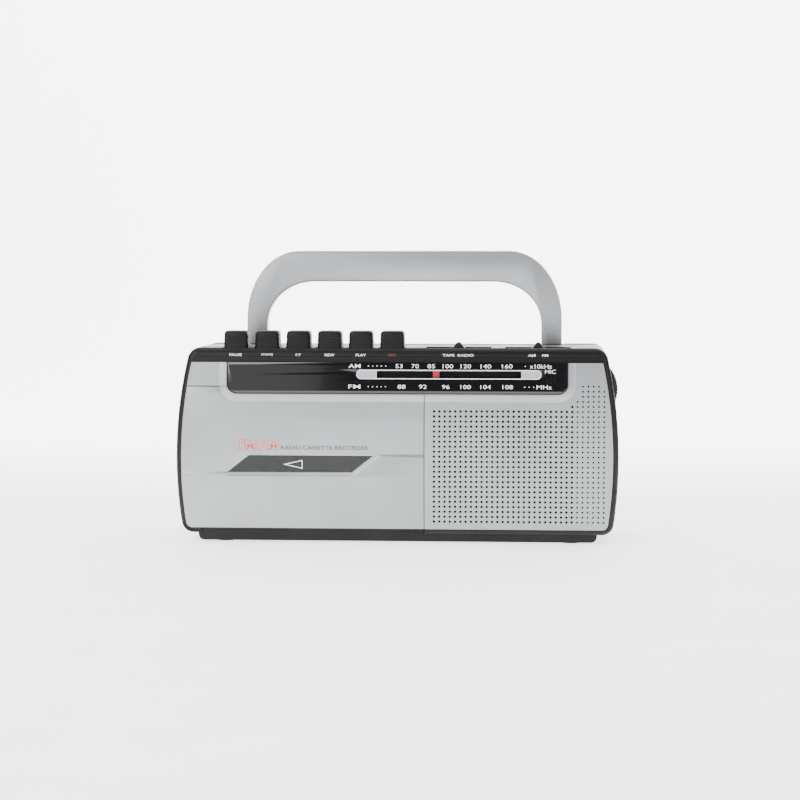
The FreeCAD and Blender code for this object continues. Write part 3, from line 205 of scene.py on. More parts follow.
def make_uneven_tone():
    """Two near colours that drift into each other over the surface, with a speckle laid on top."""
    group, start, end = effect(
        "uneven_tone",
        [
            ("Vector", VECTOR, None),
            ("Main", COLOUR, (0.5, 0.5, 0.5, 1)),
            ("Other", COLOUR, (0.4, 0.4, 0.4, 1)),
            ("Patches per metre", FLOAT, 30.0),
            ("Speckle", FLOAT, 0.0),
        ],
        [("Colour", COLOUR), ("Patch", FLOAT)],
    )
    drift = add(group, "TexNoise", {"Detail": 3.0, "Roughness": 0.55})
    limits = add(group, "MapRange", {"From Min": 0.32, "From Max": 0.68})
    both = add(group, "Math", operation="ADD", use_clamp=True)
    blend = add(group, "Mix", data_type="RGBA")
    wire(
        group,
        (start.outputs["Vector"], drift.inputs["Vector"]),
        (start.outputs["Patches per metre"], drift.inputs["Scale"]),
        (drift.outputs["Fac"], limits.inputs["Value"]),
        (limits.outputs["Result"], both.inputs[0]),
        (start.outputs["Speckle"], both.inputs[1]),
        (both.outputs["Value"], blend.inputs["Factor"]),
        (start.outputs["Main"], blend.inputs["A"]),
        (start.outputs["Other"], blend.inputs["B"]),
        (blend.outputs["Result"], end.inputs["Colour"]),
        (limits.outputs["Result"], end.inputs["Patch"]),
    )
    return group


DUST_COLOUR = linear(150, 146, 138)


def make_settled_dust():
    """A thin film of dust on whatever faces up, thicker in some places than others."""
    group, start, end = effect(
        "settled_dust",
        [("Vector", VECTOR, None), ("Colour", COLOUR, (0.5, 0.5, 0.5, 1)), ("Amount", FLOAT, 0.1)],
        [("Colour", COLOUR), ("Mask", FLOAT)],
    )
    facing = add(group, "NewGeometry")
    parts = add(group, "SeparateXYZ")
    upward = add(group, "MapRange", {"From Min": 0.35, "From Max": 1.0})
    clumps = add(group, "TexNoise", {"Scale": 140.0, "Detail": 4.0, "Roughness": 0.7})
    drifted = add(group, "MapRange", {"From Min": 0.35, "From Max": 0.75})
    film = add(group, "Math", operation="MULTIPLY")
    amount = add(group, "Math", operation="MULTIPLY", use_clamp=True)
    blend = add(group, "Mix", {"B": DUST_COLOUR}, data_type="RGBA")
    wire(
        group,
        (facing.outputs["Normal"], parts.inputs["Vector"]),
        (parts.outputs["Z"], upward.inputs["Value"]),
        (start.outputs["Vector"], clumps.inputs["Vector"]),
        (clumps.outputs["Fac"], drifted.inputs["Value"]),
        (upward.outputs["Result"], film.inputs[0]),
        (drifted.outputs["Result"], film.inputs[1]),
        (film.outputs["Value"], amount.inputs[0]),
        (start.outputs["Amount"], amount.inputs[1]),
        (start.outputs["Colour"], blend.inputs["A"]),
        (amount.outputs["Value"], blend.inputs["Factor"]),
        (blend.outputs["Result"], end.inputs["Colour"]),
        (amount.outputs["Value"], end.inputs["Mask"]),
    )
    return group


def make_brushed_lines():
    """Long fine lines drawn along one axis of the piece, as on drawn, rolled or turned metal."""
    group, start, end = effect(
        "brushed_lines",
        [("Vector", VECTOR, None), ("Stretch", VECTOR, (1.0, 1.0, 1.0))],
        [("Height", FLOAT), ("Tone", FLOAT)],
    )
    pulled = add(group, "VectorMath", operation="MULTIPLY")
    lines = add(group, "TexNoise", {"Scale": 60.0, "Detail": 6.0, "Roughness": 0.75})
    bands = add(group, "MapRange", {"From Min": 0.3, "From Max": 0.7})
    wire(
        group,
        (start.outputs["Vector"], pulled.inputs[0]),
        (start.outputs["Stretch"], pulled.inputs[1]),
        (pulled.outputs["Vector"], lines.inputs["Vector"]),
        (lines.outputs["Fac"], bands.inputs["Value"]),
        (lines.outputs["Fac"], end.inputs["Height"]),
        (bands.outputs["Result"], end.inputs["Tone"]),
    )
    return group


def make_light_scuffs():
    """Sparse hairline scuffs and rubbed spots from handling."""
    group, start, end = effect(
        "light_scuffs",
        [("Vector", VECTOR, None), ("Spots per metre", FLOAT, 60.0)],
        [("Mask", FLOAT)],
    )
    hairs = add(group, "TexNoise", {"Detail": 8.0, "Roughness": 0.8, "Distortion": 1.4})
    thin = add(group, "MapRange", {"From Min": 0.62, "From Max": 0.72})
    wire(
        group,
        (start.outputs["Vector"], hairs.inputs["Vector"]),
        (start.outputs["Spots per metre"], hairs.inputs["Scale"]),
        (hairs.outputs["Fac"], thin.inputs["Value"]),
        (thin.outputs["Result"], end.inputs["Mask"]),
    )
    return group


fine_grain = make_fine_grain()
uneven_tone = make_uneven_tone()
settled_dust = make_settled_dust()
brushed_lines = make_brushed_lines()
light_scuffs = make_light_scuffs()


# ---------------------------------------------------------------- materials

def blank(name):
    """A new material. Returns it with its node tree and its shader."""
    material = bpy.data.materials.new(name)
    material.use_nodes = True
    return material, material.node_tree, material.node_tree.nodes["Principled BSDF"]


def drifting(tree, main, other):
    """Places the drift between two colours in a material."""
    tone = add(tree, "Group", node_tree=uneven_tone)
    tone.inputs["Main"].default_value = main
    tone.inputs["Other"].default_value = other
    return tone


def grained(
    name, main, other, rough, rough_swing=0.08, metallic=0.0, grains=1500.0, grain_height=0.02,
    patches=30.0, speckle=0.0, dust=0.12, coat=0.0, coat_rough=0.1, specular=0.5, alpha=1.0, sheen=0.0,
):
    """A finish with drifting tone, a fine grain that shows in colour, gloss and relief, scuffs and dust."""
    material, tree, shader = blank(name)
    shader.inputs["Metallic"].default_value = metallic
    shader.inputs["Coat Weight"].default_value = coat
    shader.inputs["Coat Roughness"].default_value = coat_rough
    shader.inputs["Specular IOR Level"].default_value = specular
    shader.inputs["Alpha"].default_value = alpha
    shader.inputs["Sheen Weight"].default_value = sheen
    place = add(tree, "TexCoord")
    tone = drifting(tree, main, other)
    tone.inputs["Patches per metre"].default_value = patches
    grain = add(tree, "Group", node_tree=fine_grain)
    grain.inputs["Grains per metre"].default_value = grains
    dusty = add(tree, "Group", node_tree=settled_dust)
    dusty.inputs["Amount"].default_value = dust
    scuffs = add(tree, "Group", node_tree=light_scuffs)
    speckles = add(tree, "Math", {1: speckle}, operation="MULTIPLY")
    gloss = add(tree, "MapRange", {"To Min": rough - rough_swing, "To Max": rough + rough_swing})
    rubbed = add(tree, "Math", {1: rough_swing}, operation="MULTIPLY")
    total = add(tree, "Math", operation="ADD", use_clamp=True)
    relief = add(tree, "Bump", {"Strength": 1.0, "Distance": grain_height * MM})
    wire(
        tree,
        (place.outputs["Object"], tone.inputs["Vector"]),
        (place.outputs["Object"], grain.inputs["Vector"]),
        (place.outputs["Object"], dusty.inputs["Vector"]),
        (place.outputs["Object"], scuffs.inputs["Vector"]),
        (grain.outputs["Tone"], speckles.inputs[0]),
        (speckles.outputs["Value"], tone.inputs["Speckle"]),
        (tone.outputs["Colour"], dusty.inputs["Colour"]),
        (dusty.outputs["Colour"], shader.inputs["Base Color"]),
        (tone.outputs["Patch"], gloss.inputs["Value"]),
        (scuffs.outputs["Mask"], rubbed.inputs[0]),
        (gloss.outputs["Result"], total.inputs[0]),
        (rubbed.outputs["Value"], total.inputs[1]),
        (total.outputs["Value"], shader.inputs["Roughness"]),
        (grain.outputs["Height"], relief.inputs["Height"]),
        (relief.outputs["Normal"], shader.inputs["Normal"]),
    )
    return material


METAL_DUST = 0.08
METAL_SPECKLE = 0.5


def metal(name, main, other, rough, stretch, line_height=0.01, rough_swing=0.08):
    """Bare or plated metal with the fine lines of its making."""
    material, tree, shader = blank(name)
    shader.inputs["Metallic"].default_value = 1.0
    place = add(tree, "TexCoord")
    lines = add(tree, "Group", node_tree=brushed_lines)
    lines.inputs["Stretch"].default_value = stretch
    tone = drifting(tree, main, other)
    speckles = add(tree, "Math", {1: METAL_SPECKLE}, operation="MULTIPLY")
    dusty = add(tree, "Group", node_tree=settled_dust)
    dusty.inputs["Amount"].default_value = METAL_DUST
    gloss = add(tree, "MapRange", {"To Min": rough - rough_swing, "To Max": rough + rough_swing})
    relief = add(tree, "Bump", {"Strength": 1.0, "Distance": line_height * MM})
    wire(
        tree,
        (place.outputs["Object"], lines.inputs["Vector"]),
        (place.outputs["Object"], tone.inputs["Vector"]),
        (place.outputs["Object"], dusty.inputs["Vector"]),
        (lines.outputs["Tone"], speckles.inputs[0]),
        (speckles.outputs["Value"], tone.inputs["Speckle"]),
        (tone.outputs["Colour"], dusty.inputs["Colour"]),
        (dusty.outputs["Colour"], shader.inputs["Base Color"]),
        (lines.outputs["Tone"], gloss.inputs["Value"]),
        (gloss.outputs["Result"], shader.inputs["Roughness"]),
        (lines.outputs["Height"], relief.inputs["Height"]),
        (relief.outputs["Normal"], shader.inputs["Normal"]),
    )
    return material


def node_of(tree, kind):
    """The first node of a kind in a finish that is given a pattern of its own as well."""
    return next(n for n in tree.nodes if n.bl_idname == "ShaderNode" + kind)


WAVES_PER_SCALE = 10 / math.pi


def add_bands(material, spacing, height, direction="Z"):
    """Adds even ridges to a finish: the turns of a winding, or the rings of a paper cone."""
    tree = material.node_tree
    relief = node_of(tree, "Bump")
    place = node_of(tree, "TexCoord")
    scale = 1 / (spacing * MM * WAVES_PER_SCALE)
    values = {"Scale": scale, "Distortion": 0.4, "Detail": 1.0}
    ridges = add(tree, "TexWave", values, bands_direction=direction)
    old = relief.inputs["Height"].links[0].from_socket
    both = add(tree, "Math", operation="ADD")
    wire(
        tree,
        (place.outputs["Object"], ridges.inputs["Vector"]),
        (ridges.outputs["Fac"], both.inputs[0]),
        (old, both.inputs[1]),
        (both.outputs["Value"], relief.inputs["Height"]),
    )
    relief.inputs["Distance"].default_value = height * MM
    return material


TRACK_PATTERN = {
    "Scale": 90.0,
    "Mortar Size": 0.05,
    "Brick Width": 0.9,
    "Row Height": 0.35,
    "Color1": (0, 0, 0, 1),
    "Color2": (0.25, 0.25, 0.25, 1),
    "Mortar": (1, 1, 1, 1),
}
TRACK_GREEN = linear(62, 122, 70)


def make_board_green():
    """Solder resist over copper tracks, which show as paler squared-off runs."""
    material = grained(
        "board_green", linear(28, 82, 46), linear(22, 66, 38), rough=0.34, patches=90, coat=0.3,
    )
    tree = material.node_tree
    tracks = add(tree, "TexBrick", TRACK_PATTERN)
    lay = add(tree, "Mix", {"B": TRACK_GREEN}, data_type="RGBA")
    turn = add(tree, "Mapping", {"Rotation": (math.radians(90), 0, 0)})
    place = node_of(tree, "TexCoord")
    shader = tree.nodes["Principled BSDF"]
    old = shader.inputs["Base Color"].links[0].from_socket
    wire(
        tree,
        (place.outputs["Object"], turn.inputs["Vector"]),
        (turn.outputs["Vector"], tracks.inputs["Vector"]),
        (old, lay.inputs["A"]),
        (tracks.outputs["Color"], lay.inputs["Factor"]),
        (lay.outputs["Result"], shader.inputs["Base Color"]),
    )
    return material


BLACK = linear(14, 15, 13)
BLACK_DEEP = linear(9, 10, 9)

finishes = {
    "black_case": grained(
        "black_case", BLACK, BLACK_DEEP, rough=0.42, grains=2600, grain_height=0.012, dust=0.03,
        specular=0.25,
    ),
    "silver_paint": grained(
        "silver_paint", linear(160, 162, 164), linear(151, 153, 154), rough=0.37, rough_swing=0.04,
        metallic=0.6, grains=5200, grain_height=0.006, patches=14, speckle=0.35, dust=0.04, coat=0.25,
        coat_rough=0.25,
    ),
    "silver_handle": grained(
        "silver_handle", linear(160, 162, 165), linear(148, 150, 153), rough=0.38, rough_swing=0.05,
        metallic=0.6, grains=5200, grain_height=0.006, patches=12, speckle=0.35, dust=0.05, coat=0.2,
        coat_rough=0.3,
    ),
    "dial_glass": grained(
        "dial_acrylic", linear(4, 4, 6), linear(3, 3, 4), rough=0.11, rough_swing=0.02, grains=400,
        grain_height=0.001, patches=20, dust=0.03, coat=0.4, coat_rough=0.04,
    ),
    "dial_back": grained(
        "dial_back", linear(12, 12, 13), linear(9, 9, 10), rough=0.6, grains=1800, dust=0.0, specular=0.15,
    ),
    "smoked_window": grained(
        "smoked_window", linear(26, 29, 27), linear(22, 25, 23), rough=0.12, rough_swing=0.03, grains=300,
        grain_height=0.0, dust=0.02, alpha=0.8, specular=0.4,
    ),
    "key_black": grained(
        "key_black", linear(8, 8, 9), linear(5, 5, 6), rough=0.46, grains=2200, grain_height=0.01,
        dust=0.02, specular=0.25,
    ),
    "pointer_red": grained("pointer_red", linear(190, 30, 38), linear(168, 24, 30), rough=0.4, dust=0.0),
    "inner_plastic": grained(
        "inner_plastic", linear(42, 42, 43), linear(34, 34, 35), rough=0.5, grains=1700, dust=0.05,
        specular=0.3,
    ),
    "rubber_black": grained(
        "rubber_black", linear(26, 26, 26), linear(20, 20, 20), rough=0.78, grains=1900, grain_height=0.03,
        dust=0.2, sheen=0.1,
    ),
    "steel": metal(
        "steel", linear(172, 174, 176), linear(148, 150, 153), rough=0.34, stretch=(1.0, 9.0, 22.0),
    ),
    "chrome_tube": metal(
        "chrome_tube", linear(214, 216, 218), linear(198, 200, 203), rough=0.14, rough_swing=0.05,
        stretch=(0.6, 26.0, 26.0), line_height=0.002,
    ),
    "brass_part": metal(
        "brass_part", linear(196, 160, 88), linear(170, 134, 70), rough=0.3, stretch=(20.0, 1.0, 20.0),
    ),
    "board_green": make_board_green(),
    "can_blue": grained(
        "can_blue", linear(38, 58, 112), linear(30, 46, 92), rough=0.34, grains=900, dust=0.1, coat=0.3,
    ),
    "can_metal": metal(
        "can_metal", linear(178, 179, 180), linear(156, 157, 160), rough=0.36, stretch=(2.0, 2.0, 30.0),
    ),
    "ferrite": grained(
        "ferrite", linear(46, 44, 44), linear(36, 34, 34), rough=0.62, grains=2600, grain_height=0.05,
    ),
    "copper_wire": add_bands(
        grained(
            "copper_wire", linear(176, 92, 48), linear(146, 70, 36), rough=0.3, metallic=0.7, grains=1200,
            coat=0.5,
        ),
        spacing=0.35, height=0.12, direction="X",
    ),
    "paper_cone": add_bands(
        grained(
            "paper_cone", linear(40, 40, 42), linear(32, 32, 34), rough=0.85, grains=1300,
            grain_height=0.08, dust=0.1,
        ),
        spacing=3.0, height=0.2,
    ),
    "core_steel": add_bands(
        metal("core_steel", linear(120, 118, 116), linear(96, 94, 92), rough=0.5, stretch=(1.0, 1.0, 1.0)),
        spacing=0.5, height=0.2, direction="Y",
    ),
    "white_nylon": grained(
        "white_nylon", linear(212, 208, 196), linear(192, 188, 176), rough=0.6, grains=2600,
    ),
}


def ink(name, main, other, rough=0.5):
    """A printed ink, without dust."""
    return grained(name, main, other, rough=rough, grains=3000, dust=0.0)


white_print = ink("white_print", linear(238, 240, 242), linear(222, 224, 226))
grey_print = ink("grey_print", linear(58, 62, 74), linear(46, 50, 60))
orange_print = ink("orange_print", linear(222, 62, 34), linear(200, 50, 26), rough=0.45)
dark_red_print = ink("dark_red_print", linear(128, 44, 50), linear(106, 36, 42))
silver_print = grained(
    "silver_print", linear(190, 192, 194), linear(170, 172, 175), rough=0.35, metallic=0.4, grains=2200,
    speckle=0.4, dust=0.0,
)


def dress_the_frame():
    """Gives each frame node the finish of its slot in the record."""
    for part in frame["record"]["subparts"]:
        slots = frame["nodes"][part["node"]].data.materials
        slots.clear()
        slots.append(finishes[part["material_slot"]])


# ---------------------------------------------------------------- making and placing pieces

SHARP = math.radians(38)
CUT_REACH = 1e-4


def piece(bm, name, body, slot=None, print_ink=None, stands_for=()):
    """Makes a bmesh in millimetres into a smooth-shaded piece, in a slot's finish or in an ink."""
    bmesh.ops.scale(bm, vec=(MM, MM, MM), verts=bm.verts)
    mesh = bpy.data.meshes.new(name)
    bm.to_mesh(mesh)
    bm.free()
    mesh.polygons.foreach_set("use_smooth", [True] * len(mesh.polygons))
    mesh.set_sharp_from_angle(angle=SHARP)
    mesh.materials.append(print_ink or finishes[slot])
    made = bpy.data.objects.new(name, mesh)
    bpy.context.scene.collection.objects.link(made)
    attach(made, body)
    if stands_for:
        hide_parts(*stands_for)


def verts_of(geom):
    """The vertices in what an operator gives back."""
    return [v for v in geom if isinstance(v, bmesh.types.BMVert)]


def raised(bm, faces, step):
    """Extrudes faces by a step. Returns what was added."""
    grown = bmesh.ops.extrude_face_region(bm, geom=faces)["geom"]
    bmesh.ops.translate(bm, vec=step, verts=verts_of(grown))
    return grown


def first_face(geom):
    """The first face in what an operator gives back."""
    return next(f for f in geom if isinstance(f, bmesh.types.BMFace))


def cut_across(bm, place, way, reach=CUT_REACH, clear=False):
    """Cuts all faces along a plane, and can clear what lies beyond it. Returns what lies on the cut."""
    everything = bm.verts[:] + bm.edges[:] + bm.faces[:]
    return bmesh.ops.bisect_plane(
        bm, geom=everything, dist=reach, plane_co=place, plane_no=way, clear_outer=clear)["geom_cut"]


def poured(bm, part):
    """Adds one bmesh to another and frees it."""
    mesh = bpy.data.meshes.new("part")
    part.to_mesh(mesh)
    part.free()
    bm.from_mesh(mesh)
    bpy.data.meshes.remove(mesh)


def follow(bm, surface, lift=0.0):
    """Bends a flat piece, made with its back at y 0, over a surface, with a lift in front of it."""
    for v in bm.verts:
        v.co.y += surface(v.co.x, v.co.z) - lift


def swell(x, z):
    """The cabinet's front as a surface over a place (x, z). It is the same at every x."""
    return front_at(z)


def bevelled(bm, edges, width, segments=2):
    """Rounds edges off by a width."""
    bmesh.ops.bevel(bm, geom=list(edges), offset=width, segments=segments, profile=0.5, affect="EDGES",
                    offset_type="OFFSET", clamp_overlap=True, material=-1)


def edges_over(bm, degrees):
    """The edges where two faces meet at more than an angle."""
    limit = math.radians(degrees)
    return [e for e in bm.edges if len(e.link_faces) == 2 and e.calc_face_angle(0.0) > limit]


def turned_out(bm):
    """Points all faces outwards."""
    bmesh.ops.recalc_face_normals(bm, faces=bm.faces)


def plate(bm, outline, back, thickness):
    """A flat plate whose outline is (x, z) points: its back lies at y back, and its front faces -Y."""
    face = bm.faces.new([bm.verts.new((x, back, z)) for x, z in outline])
    raised(bm, [face], (0, -thickness, 0))


def arc(centre, radii, start, end, steps):
    """Points on a stretch of an ellipse, with its angles in degrees."""
    turns = [math.radians(start + (end - start) * n / steps) for n in range(steps + 1)]
    return [(centre[0] + radii[0] * math.cos(t), centre[1] + radii[1] * math.sin(t)) for t in turns]


def rounded_box(low, high, radius, steps=4):
    """The outline of a rectangle with round corners, from its lowest and highest (x, z)."""
    (x0, z0), (x1, z1) = low, high
    return (
        arc((x1 - radius, z1 - radius), (radius, radius), 0, 90, steps)
        + arc((x0 + radius, z1 - radius), (radius, radius), 90, 180, steps)
        + arc((x0 + radius, z0 + radius), (radius, radius), 180, 270, steps)
        + arc((x1 - radius, z0 + radius), (radius, radius), 270, 360, steps)
    )


def box_about(middle, half, radius, steps):
    """The outline of a rectangle with round corners, from its middle and its half sizes."""
    low = (middle[0] - half[0], middle[1] - half[1])
    high = (middle[0] + half[0], middle[1] + half[1])
    return rounded_box(low, high, radius, steps)


def tower(bm, outline, levels):
    """Rises from a flat (x, y) outline through levels of (z, share of the outline's size)."""
    centre = Vector((sum(p[0] for p in outline), sum(p[1] for p in outline), 0)) / len(outline)
    lowest, share = levels[0]
    foot = [centre + (Vector((*p, 0)) - centre) * share for p in outline]
    face = bm.faces.new([bm.verts.new((point.x, point.y, lowest)) for point in foot])
    height = lowest
    for z, next_share in levels[1:]:
        grown = raised(bm, [face], (0, 0, z - height))
        ring = verts_of(grown)
        growth = next_share / share
        bmesh.ops.scale(bm, vec=(growth, growth, 1), verts=ring, space=Matrix.Translation(-centre))
        old = face
        face = first_face(grown)
        if height != lowest:
            bmesh.ops.delete(bm, geom=[old], context="FACES_ONLY")
        height = z
        share = next_share
    turned_out(bm)


# Lines that look for a surface start here, well outside the object, in metres.
OUTSIDE = 1.0


def search_tree(node):
    """A search tree over a frame node's faces."""
    bm = bmesh.new()
    bm.from_mesh(frame["nodes"][node].data)
    tree = BVHTree.FromBMesh(bm)
    bm.free()
    return tree


def front_of(node):
    """Looks up the frontmost point of a frame node over a place (x, z)."""
    tree = search_tree(node)

    def surface(x, z):
        hit = tree.ray_cast(Vector((x * MM, -OUTSIDE, z * MM)), Vector((0, 1, 0)))
        return hit[0].y / MM if hit[0] else front_at(z)

    return surface


def back_of(node):
    """Looks up the rearmost point of a frame node over a place (x, z)."""
    tree = search_tree(node)
    return lambda x, z: tree.ray_cast(Vector((x * MM, OUTSIDE, z * MM)), Vector((0, -1, 0)))[0].y / MM


PRINT_LIFT = 0.03
PRINT_THICKNESS = 0.06
LETTER_MERGE = 0.004


def letters(
    bm, words, place, height, surface,
    width=None, weight=0.0, stretch=1.0, lift=PRINT_LIFT, thickness=PRINT_THICKNESS,
):
    """Generic lettering as thin raised print: place is its middle (x, z), and it follows a surface."""
    curve = bpy.data.curves.new("print", "FONT")
    curve.body = words
    curve.offset = weight
    curve.resolution_u = 3
    curve.align_x = "CENTER"
    carrier = bpy.data.objects.new("print", curve)
    bpy.context.scene.collection.objects.link(carrier)
    bpy.context.view_layer.update()
    flat = bpy.data.meshes.new_from_object(carrier.evaluated_get(bpy.context.evaluated_depsgraph_get()))
    bpy.data.objects.remove(carrier)
    word = bmesh.new()
    word.from_mesh(flat)
    bpy.data.meshes.remove(flat)
    xs = [v.co.x for v in word.verts]
    ys = [v.co.y for v in word.verts]
    tall = height / (max(ys) - min(ys))
    wide = width / (max(xs) - min(xs)) if width else tall * stretch
    middle = Vector(((max(xs) + min(xs)) / 2, (max(ys) + min(ys)) / 2, 0))
    bmesh.ops.translate(word, vec=-middle, verts=word.verts)
    bmesh.ops.scale(word, vec=(wide, tall, 1), verts=word.verts)
    bmesh.ops.remove_doubles(word, verts=word.verts, dist=LETTER_MERGE)
    raised(word, word.faces[:], (0, 0, thickness))
    turned_out(word)
    for v in word.verts:
        x = place[0] + v.co.x
        z = place[1] + v.co.y
        v.co = (x, surface(x, z) - lift - v.co.z, z)
    poured(bm, word)


def ringed(bm, outer, inner, back, thickness):
    """A flat frame between two outlines with the same number of points."""
    rings = []
    for outline in (outer, inner):
        points = [bm.verts.new((x, back, z)) for x, z in outline]
        rings.append([bm.edges.new((points[n - 1], points[n])) for n in range(len(points))])
    faces = bmesh.ops.bridge_loops(bm, edges=rings[0] + rings[1])["faces"]
    raised(bm, faces, (0, -thickness, 0))
    turned_out(bm)


# ---------------------------------------------------------------- the skins round the dial

DIAL_LOW, DIAL_HIGH = corners("dial_lens")
DIAL_ROUND = 5.0
SEAM = 0.35
# The lip's wedge: its width and height, where its crest ends, the ease of its inner edge, and its toe and
# root, which lie under the skin.
LIP_WIDTH = 4.0
LIP_HEIGHT = 0.75
LIP_CREST = 0.8
LIP_EASE = 0.35
LIP_TOE = -0.05
LIP_ROOT = -0.5
LIP_STRIDE = 3.0
LIP_TURNS = 8
LIP_MERGE = 0.01


def lip_section(bm, along, out):
    """The lip's wedge: it is proud at the dial and runs down into the skin. Points are (away, proud)."""
    wedge = (
        (0.0, LIP_ROOT),
        (0.0, LIP_HEIGHT - LIP_EASE),
        (LIP_EASE, LIP_HEIGHT),
        (LIP_CREST, LIP_HEIGHT),
        (LIP_WIDTH, LIP_TOE),
        (LIP_WIDTH, LIP_ROOT),
    )
    points = [along + out * away + Vector((0, -proud, 0)) for away, proud in wedge]
    return bm.faces.new([bm.verts.new(point) for point in points])


def run_on(bm, face, step):
    """Extrudes a section by a step, in short lengths so that it can follow the swelling front."""
    lengths = max(1, math.ceil(step.length / LIP_STRIDE))
    for _ in range(lengths):
        grown = raised(bm, [face], step / lengths)
        old = face
        face = first_face(grown)
        if any(len(e.link_faces) > 2 for e in old.edges):
            bmesh.ops.delete(bm, geom=[old], context="FACES_ONLY")
    return face


def turn_on(bm, face, centre, degrees):
    """Spins a section round the dial's corner."""
    spun = bmesh.ops.spin(bm, geom=[face, *face.edges, *face.verts], cent=centre, axis=(0, 1, 0),
                          angle=math.radians(degrees), steps=LIP_TURNS, use_duplicate=False)
    return first_face(spun["geom_last"])


def speaker_panel_lip():
    """Runs under the dial, turns its right lower corner and rises beside it."""
    low, high = corners("speaker_panel")
    bm = bmesh.new()
    under = DIAL_LOW.z - SEAM
    side = DIAL_HIGH.x + SEAM
    centre = Vector((side - DIAL_ROUND - SEAM, 0, under + DIAL_ROUND + SEAM))
    face = lip_section(bm, Vector((low.x, 0, under)), Vector((0, 0, -1)))
    face = run_on(bm, face, Vector((centre.x - low.x, 0, 0)))
    face = turn_on(bm, face, centre, -90)
    run_on(bm, face, Vector((0, 0, high.z - centre.z)))
    bmesh.ops.remove_doubles(bm, verts=bm.verts, dist=LIP_MERGE)
    turned_out(bm)
    follow(bm, swell)
    piece(bm, "speaker_panel_lip", "cabinet", "silver_paint")


def door_lip():
    """Runs under the dial on the door, and turns up its left lower corner as far as the door reaches."""
    high = corners("door_cover")[1]
    bm = bmesh.new()
    under = DIAL_LOW.z - SEAM
    side = DIAL_LOW.x - SEAM
    centre = Vector((side + DIAL_ROUND + SEAM, 0, under + DIAL_ROUND + SEAM))
    face = lip_section(bm, Vector((high.x, 0, under)), Vector((0, 0, -1)))
    face = run_on(bm, face, Vector((centre.x - high.x, 0, 0)))
    turn_on(bm, face, centre, 90)
    bmesh.ops.remove_doubles(bm, verts=bm.verts, dist=LIP_MERGE)
    opened = cut_across(bm, Vector((0, 0, high.z)), Vector((0, 0, 1)), clear=True)
    bmesh.ops.contextual_create(bm, geom=[e for e in opened if isinstance(e, bmesh.types.BMEdge)])
    turned_out(bm)
    follow(bm, swell)
    piece(bm, "door_lip", "door", "silver_paint")


def corner_panel_lip():
    """Rises beside the dial's left end, on the small silver corner."""
    low, high = corners("corner_panel")
    bm = bmesh.new()
    face = lip_section(bm, Vector((high.x, 0, low.z)), Vector((-1, 0, 0)))
    run_on(bm, face, Vector((0, 0, high.z - low.z)))
    turned_out(bm)
    follow(bm, swell)
    piece(bm, "corner_panel_lip", "cabinet", "silver_paint")


# How far the visor stands proud of the cabinet, as (height, proud) from its lower edge up.
VISOR_PROUD = ((94.2, 0.0), (94.45, 0.65), (95.2, 0.7), (96.2, 0.55), (97.2, 0.3), (98.2, 0.02))
VISOR_LOW = VISOR_PROUD[0][0]
VISOR_HIGH = VISOR_PROUD[-1][0]
VISOR_REACH = 101.0
VISOR_ROUND = 1.9
VISOR_BLANK = 1.0
VISOR_ROOT = 0.4


def visor_rise(z):
    """How far the visor stands proud at a height."""
    for (z0, proud0), (z1, proud1) in zip(VISOR_PROUD, VISOR_PROUD[1:]):
        if z <= z1:
            return proud0 + (proud1 - proud0) * max(z - z0, 0) / (z1 - z0)
    return 0.0


def visor():
    """The brow along the top of the front, with a groove of shadow under it."""
    surface = front_of("front_cabinet")
    bm = bmesh.new()
    outline = rounded_box((-VISOR_REACH, VISOR_LOW), (VISOR_REACH, VISOR_HIGH), VISOR_ROUND, 6)
    plate(bm, outline, 0, VISOR_BLANK)
    for z, _ in VISOR_PROUD[1:-1]:
        cut_across(bm, (0, 0, z), (0, 0, 1))
    for v in bm.verts:
        on_front = v.co.y < -VISOR_BLANK / 2
        v.co.y = surface(v.co.x, v.co.z) + (-visor_rise(v.co.z) if on_front else VISOR_ROOT)
    turned_out(bm)
    piece(bm, "visor", "cabinet", "black_case")


# ---------------------------------------------------------------- the tape door

# The lower field of the door's skin: how far it stands proud, how wide the slope up to it is, and how far it
# stays from the window. To the right of the window it starts at a crease.
WINDOW_LOW, WINDOW_HIGH = corners("door_window")
WINDOW_LEAN = 10.6
FIELD_STEP = 0.4
FIELD_SLOPE = 1.0
FIELD_EDGE = 1.3
RIGHT_CREASE = 45.3
DOOR_BANDS = 30
DOOR_EDGE = 0.55
DOOR_SKIN = 0.8
DOOR_MERGE = 0.004
FLAT_ENOUGH = math.radians(0.6)
DOOR_CUT_REACH = 1e-3


def smooth_step(t):
    """Rises from 0 to 1 with a soft start and a soft end."""
    t = min(max(t, 0.0), 1.0)
    return t * t * (3 - 2 * t)


def window_slant():
    """The window's right end, which leans to the right as it rises, as a point and an outward normal."""
    lean = Vector((WINDOW_LEAN, 0, WINDOW_HIGH.z - WINDOW_LOW.z))
    normal = Vector((lean.z, 0, -lean.x)).normalized()
    return Vector((WINDOW_HIGH.x, 0, WINDOW_HIGH.z)) + normal * FIELD_EDGE, normal


def door_relief(x, z):
    """How far the door's skin stands proud: its lower field is raised."""
    slant, normal = window_slant()
    below = WINDOW_LOW.z - FIELD_EDGE - z
    beside = min(RIGHT_CREASE - z, (Vector((x, 0, z)) - slant).dot(normal))
    left = min(WINDOW_LOW.z - z, WINDOW_LOW.x - x)
    return FIELD_STEP * smooth_step(max(below, beside, left) / FIELD_SLOPE)


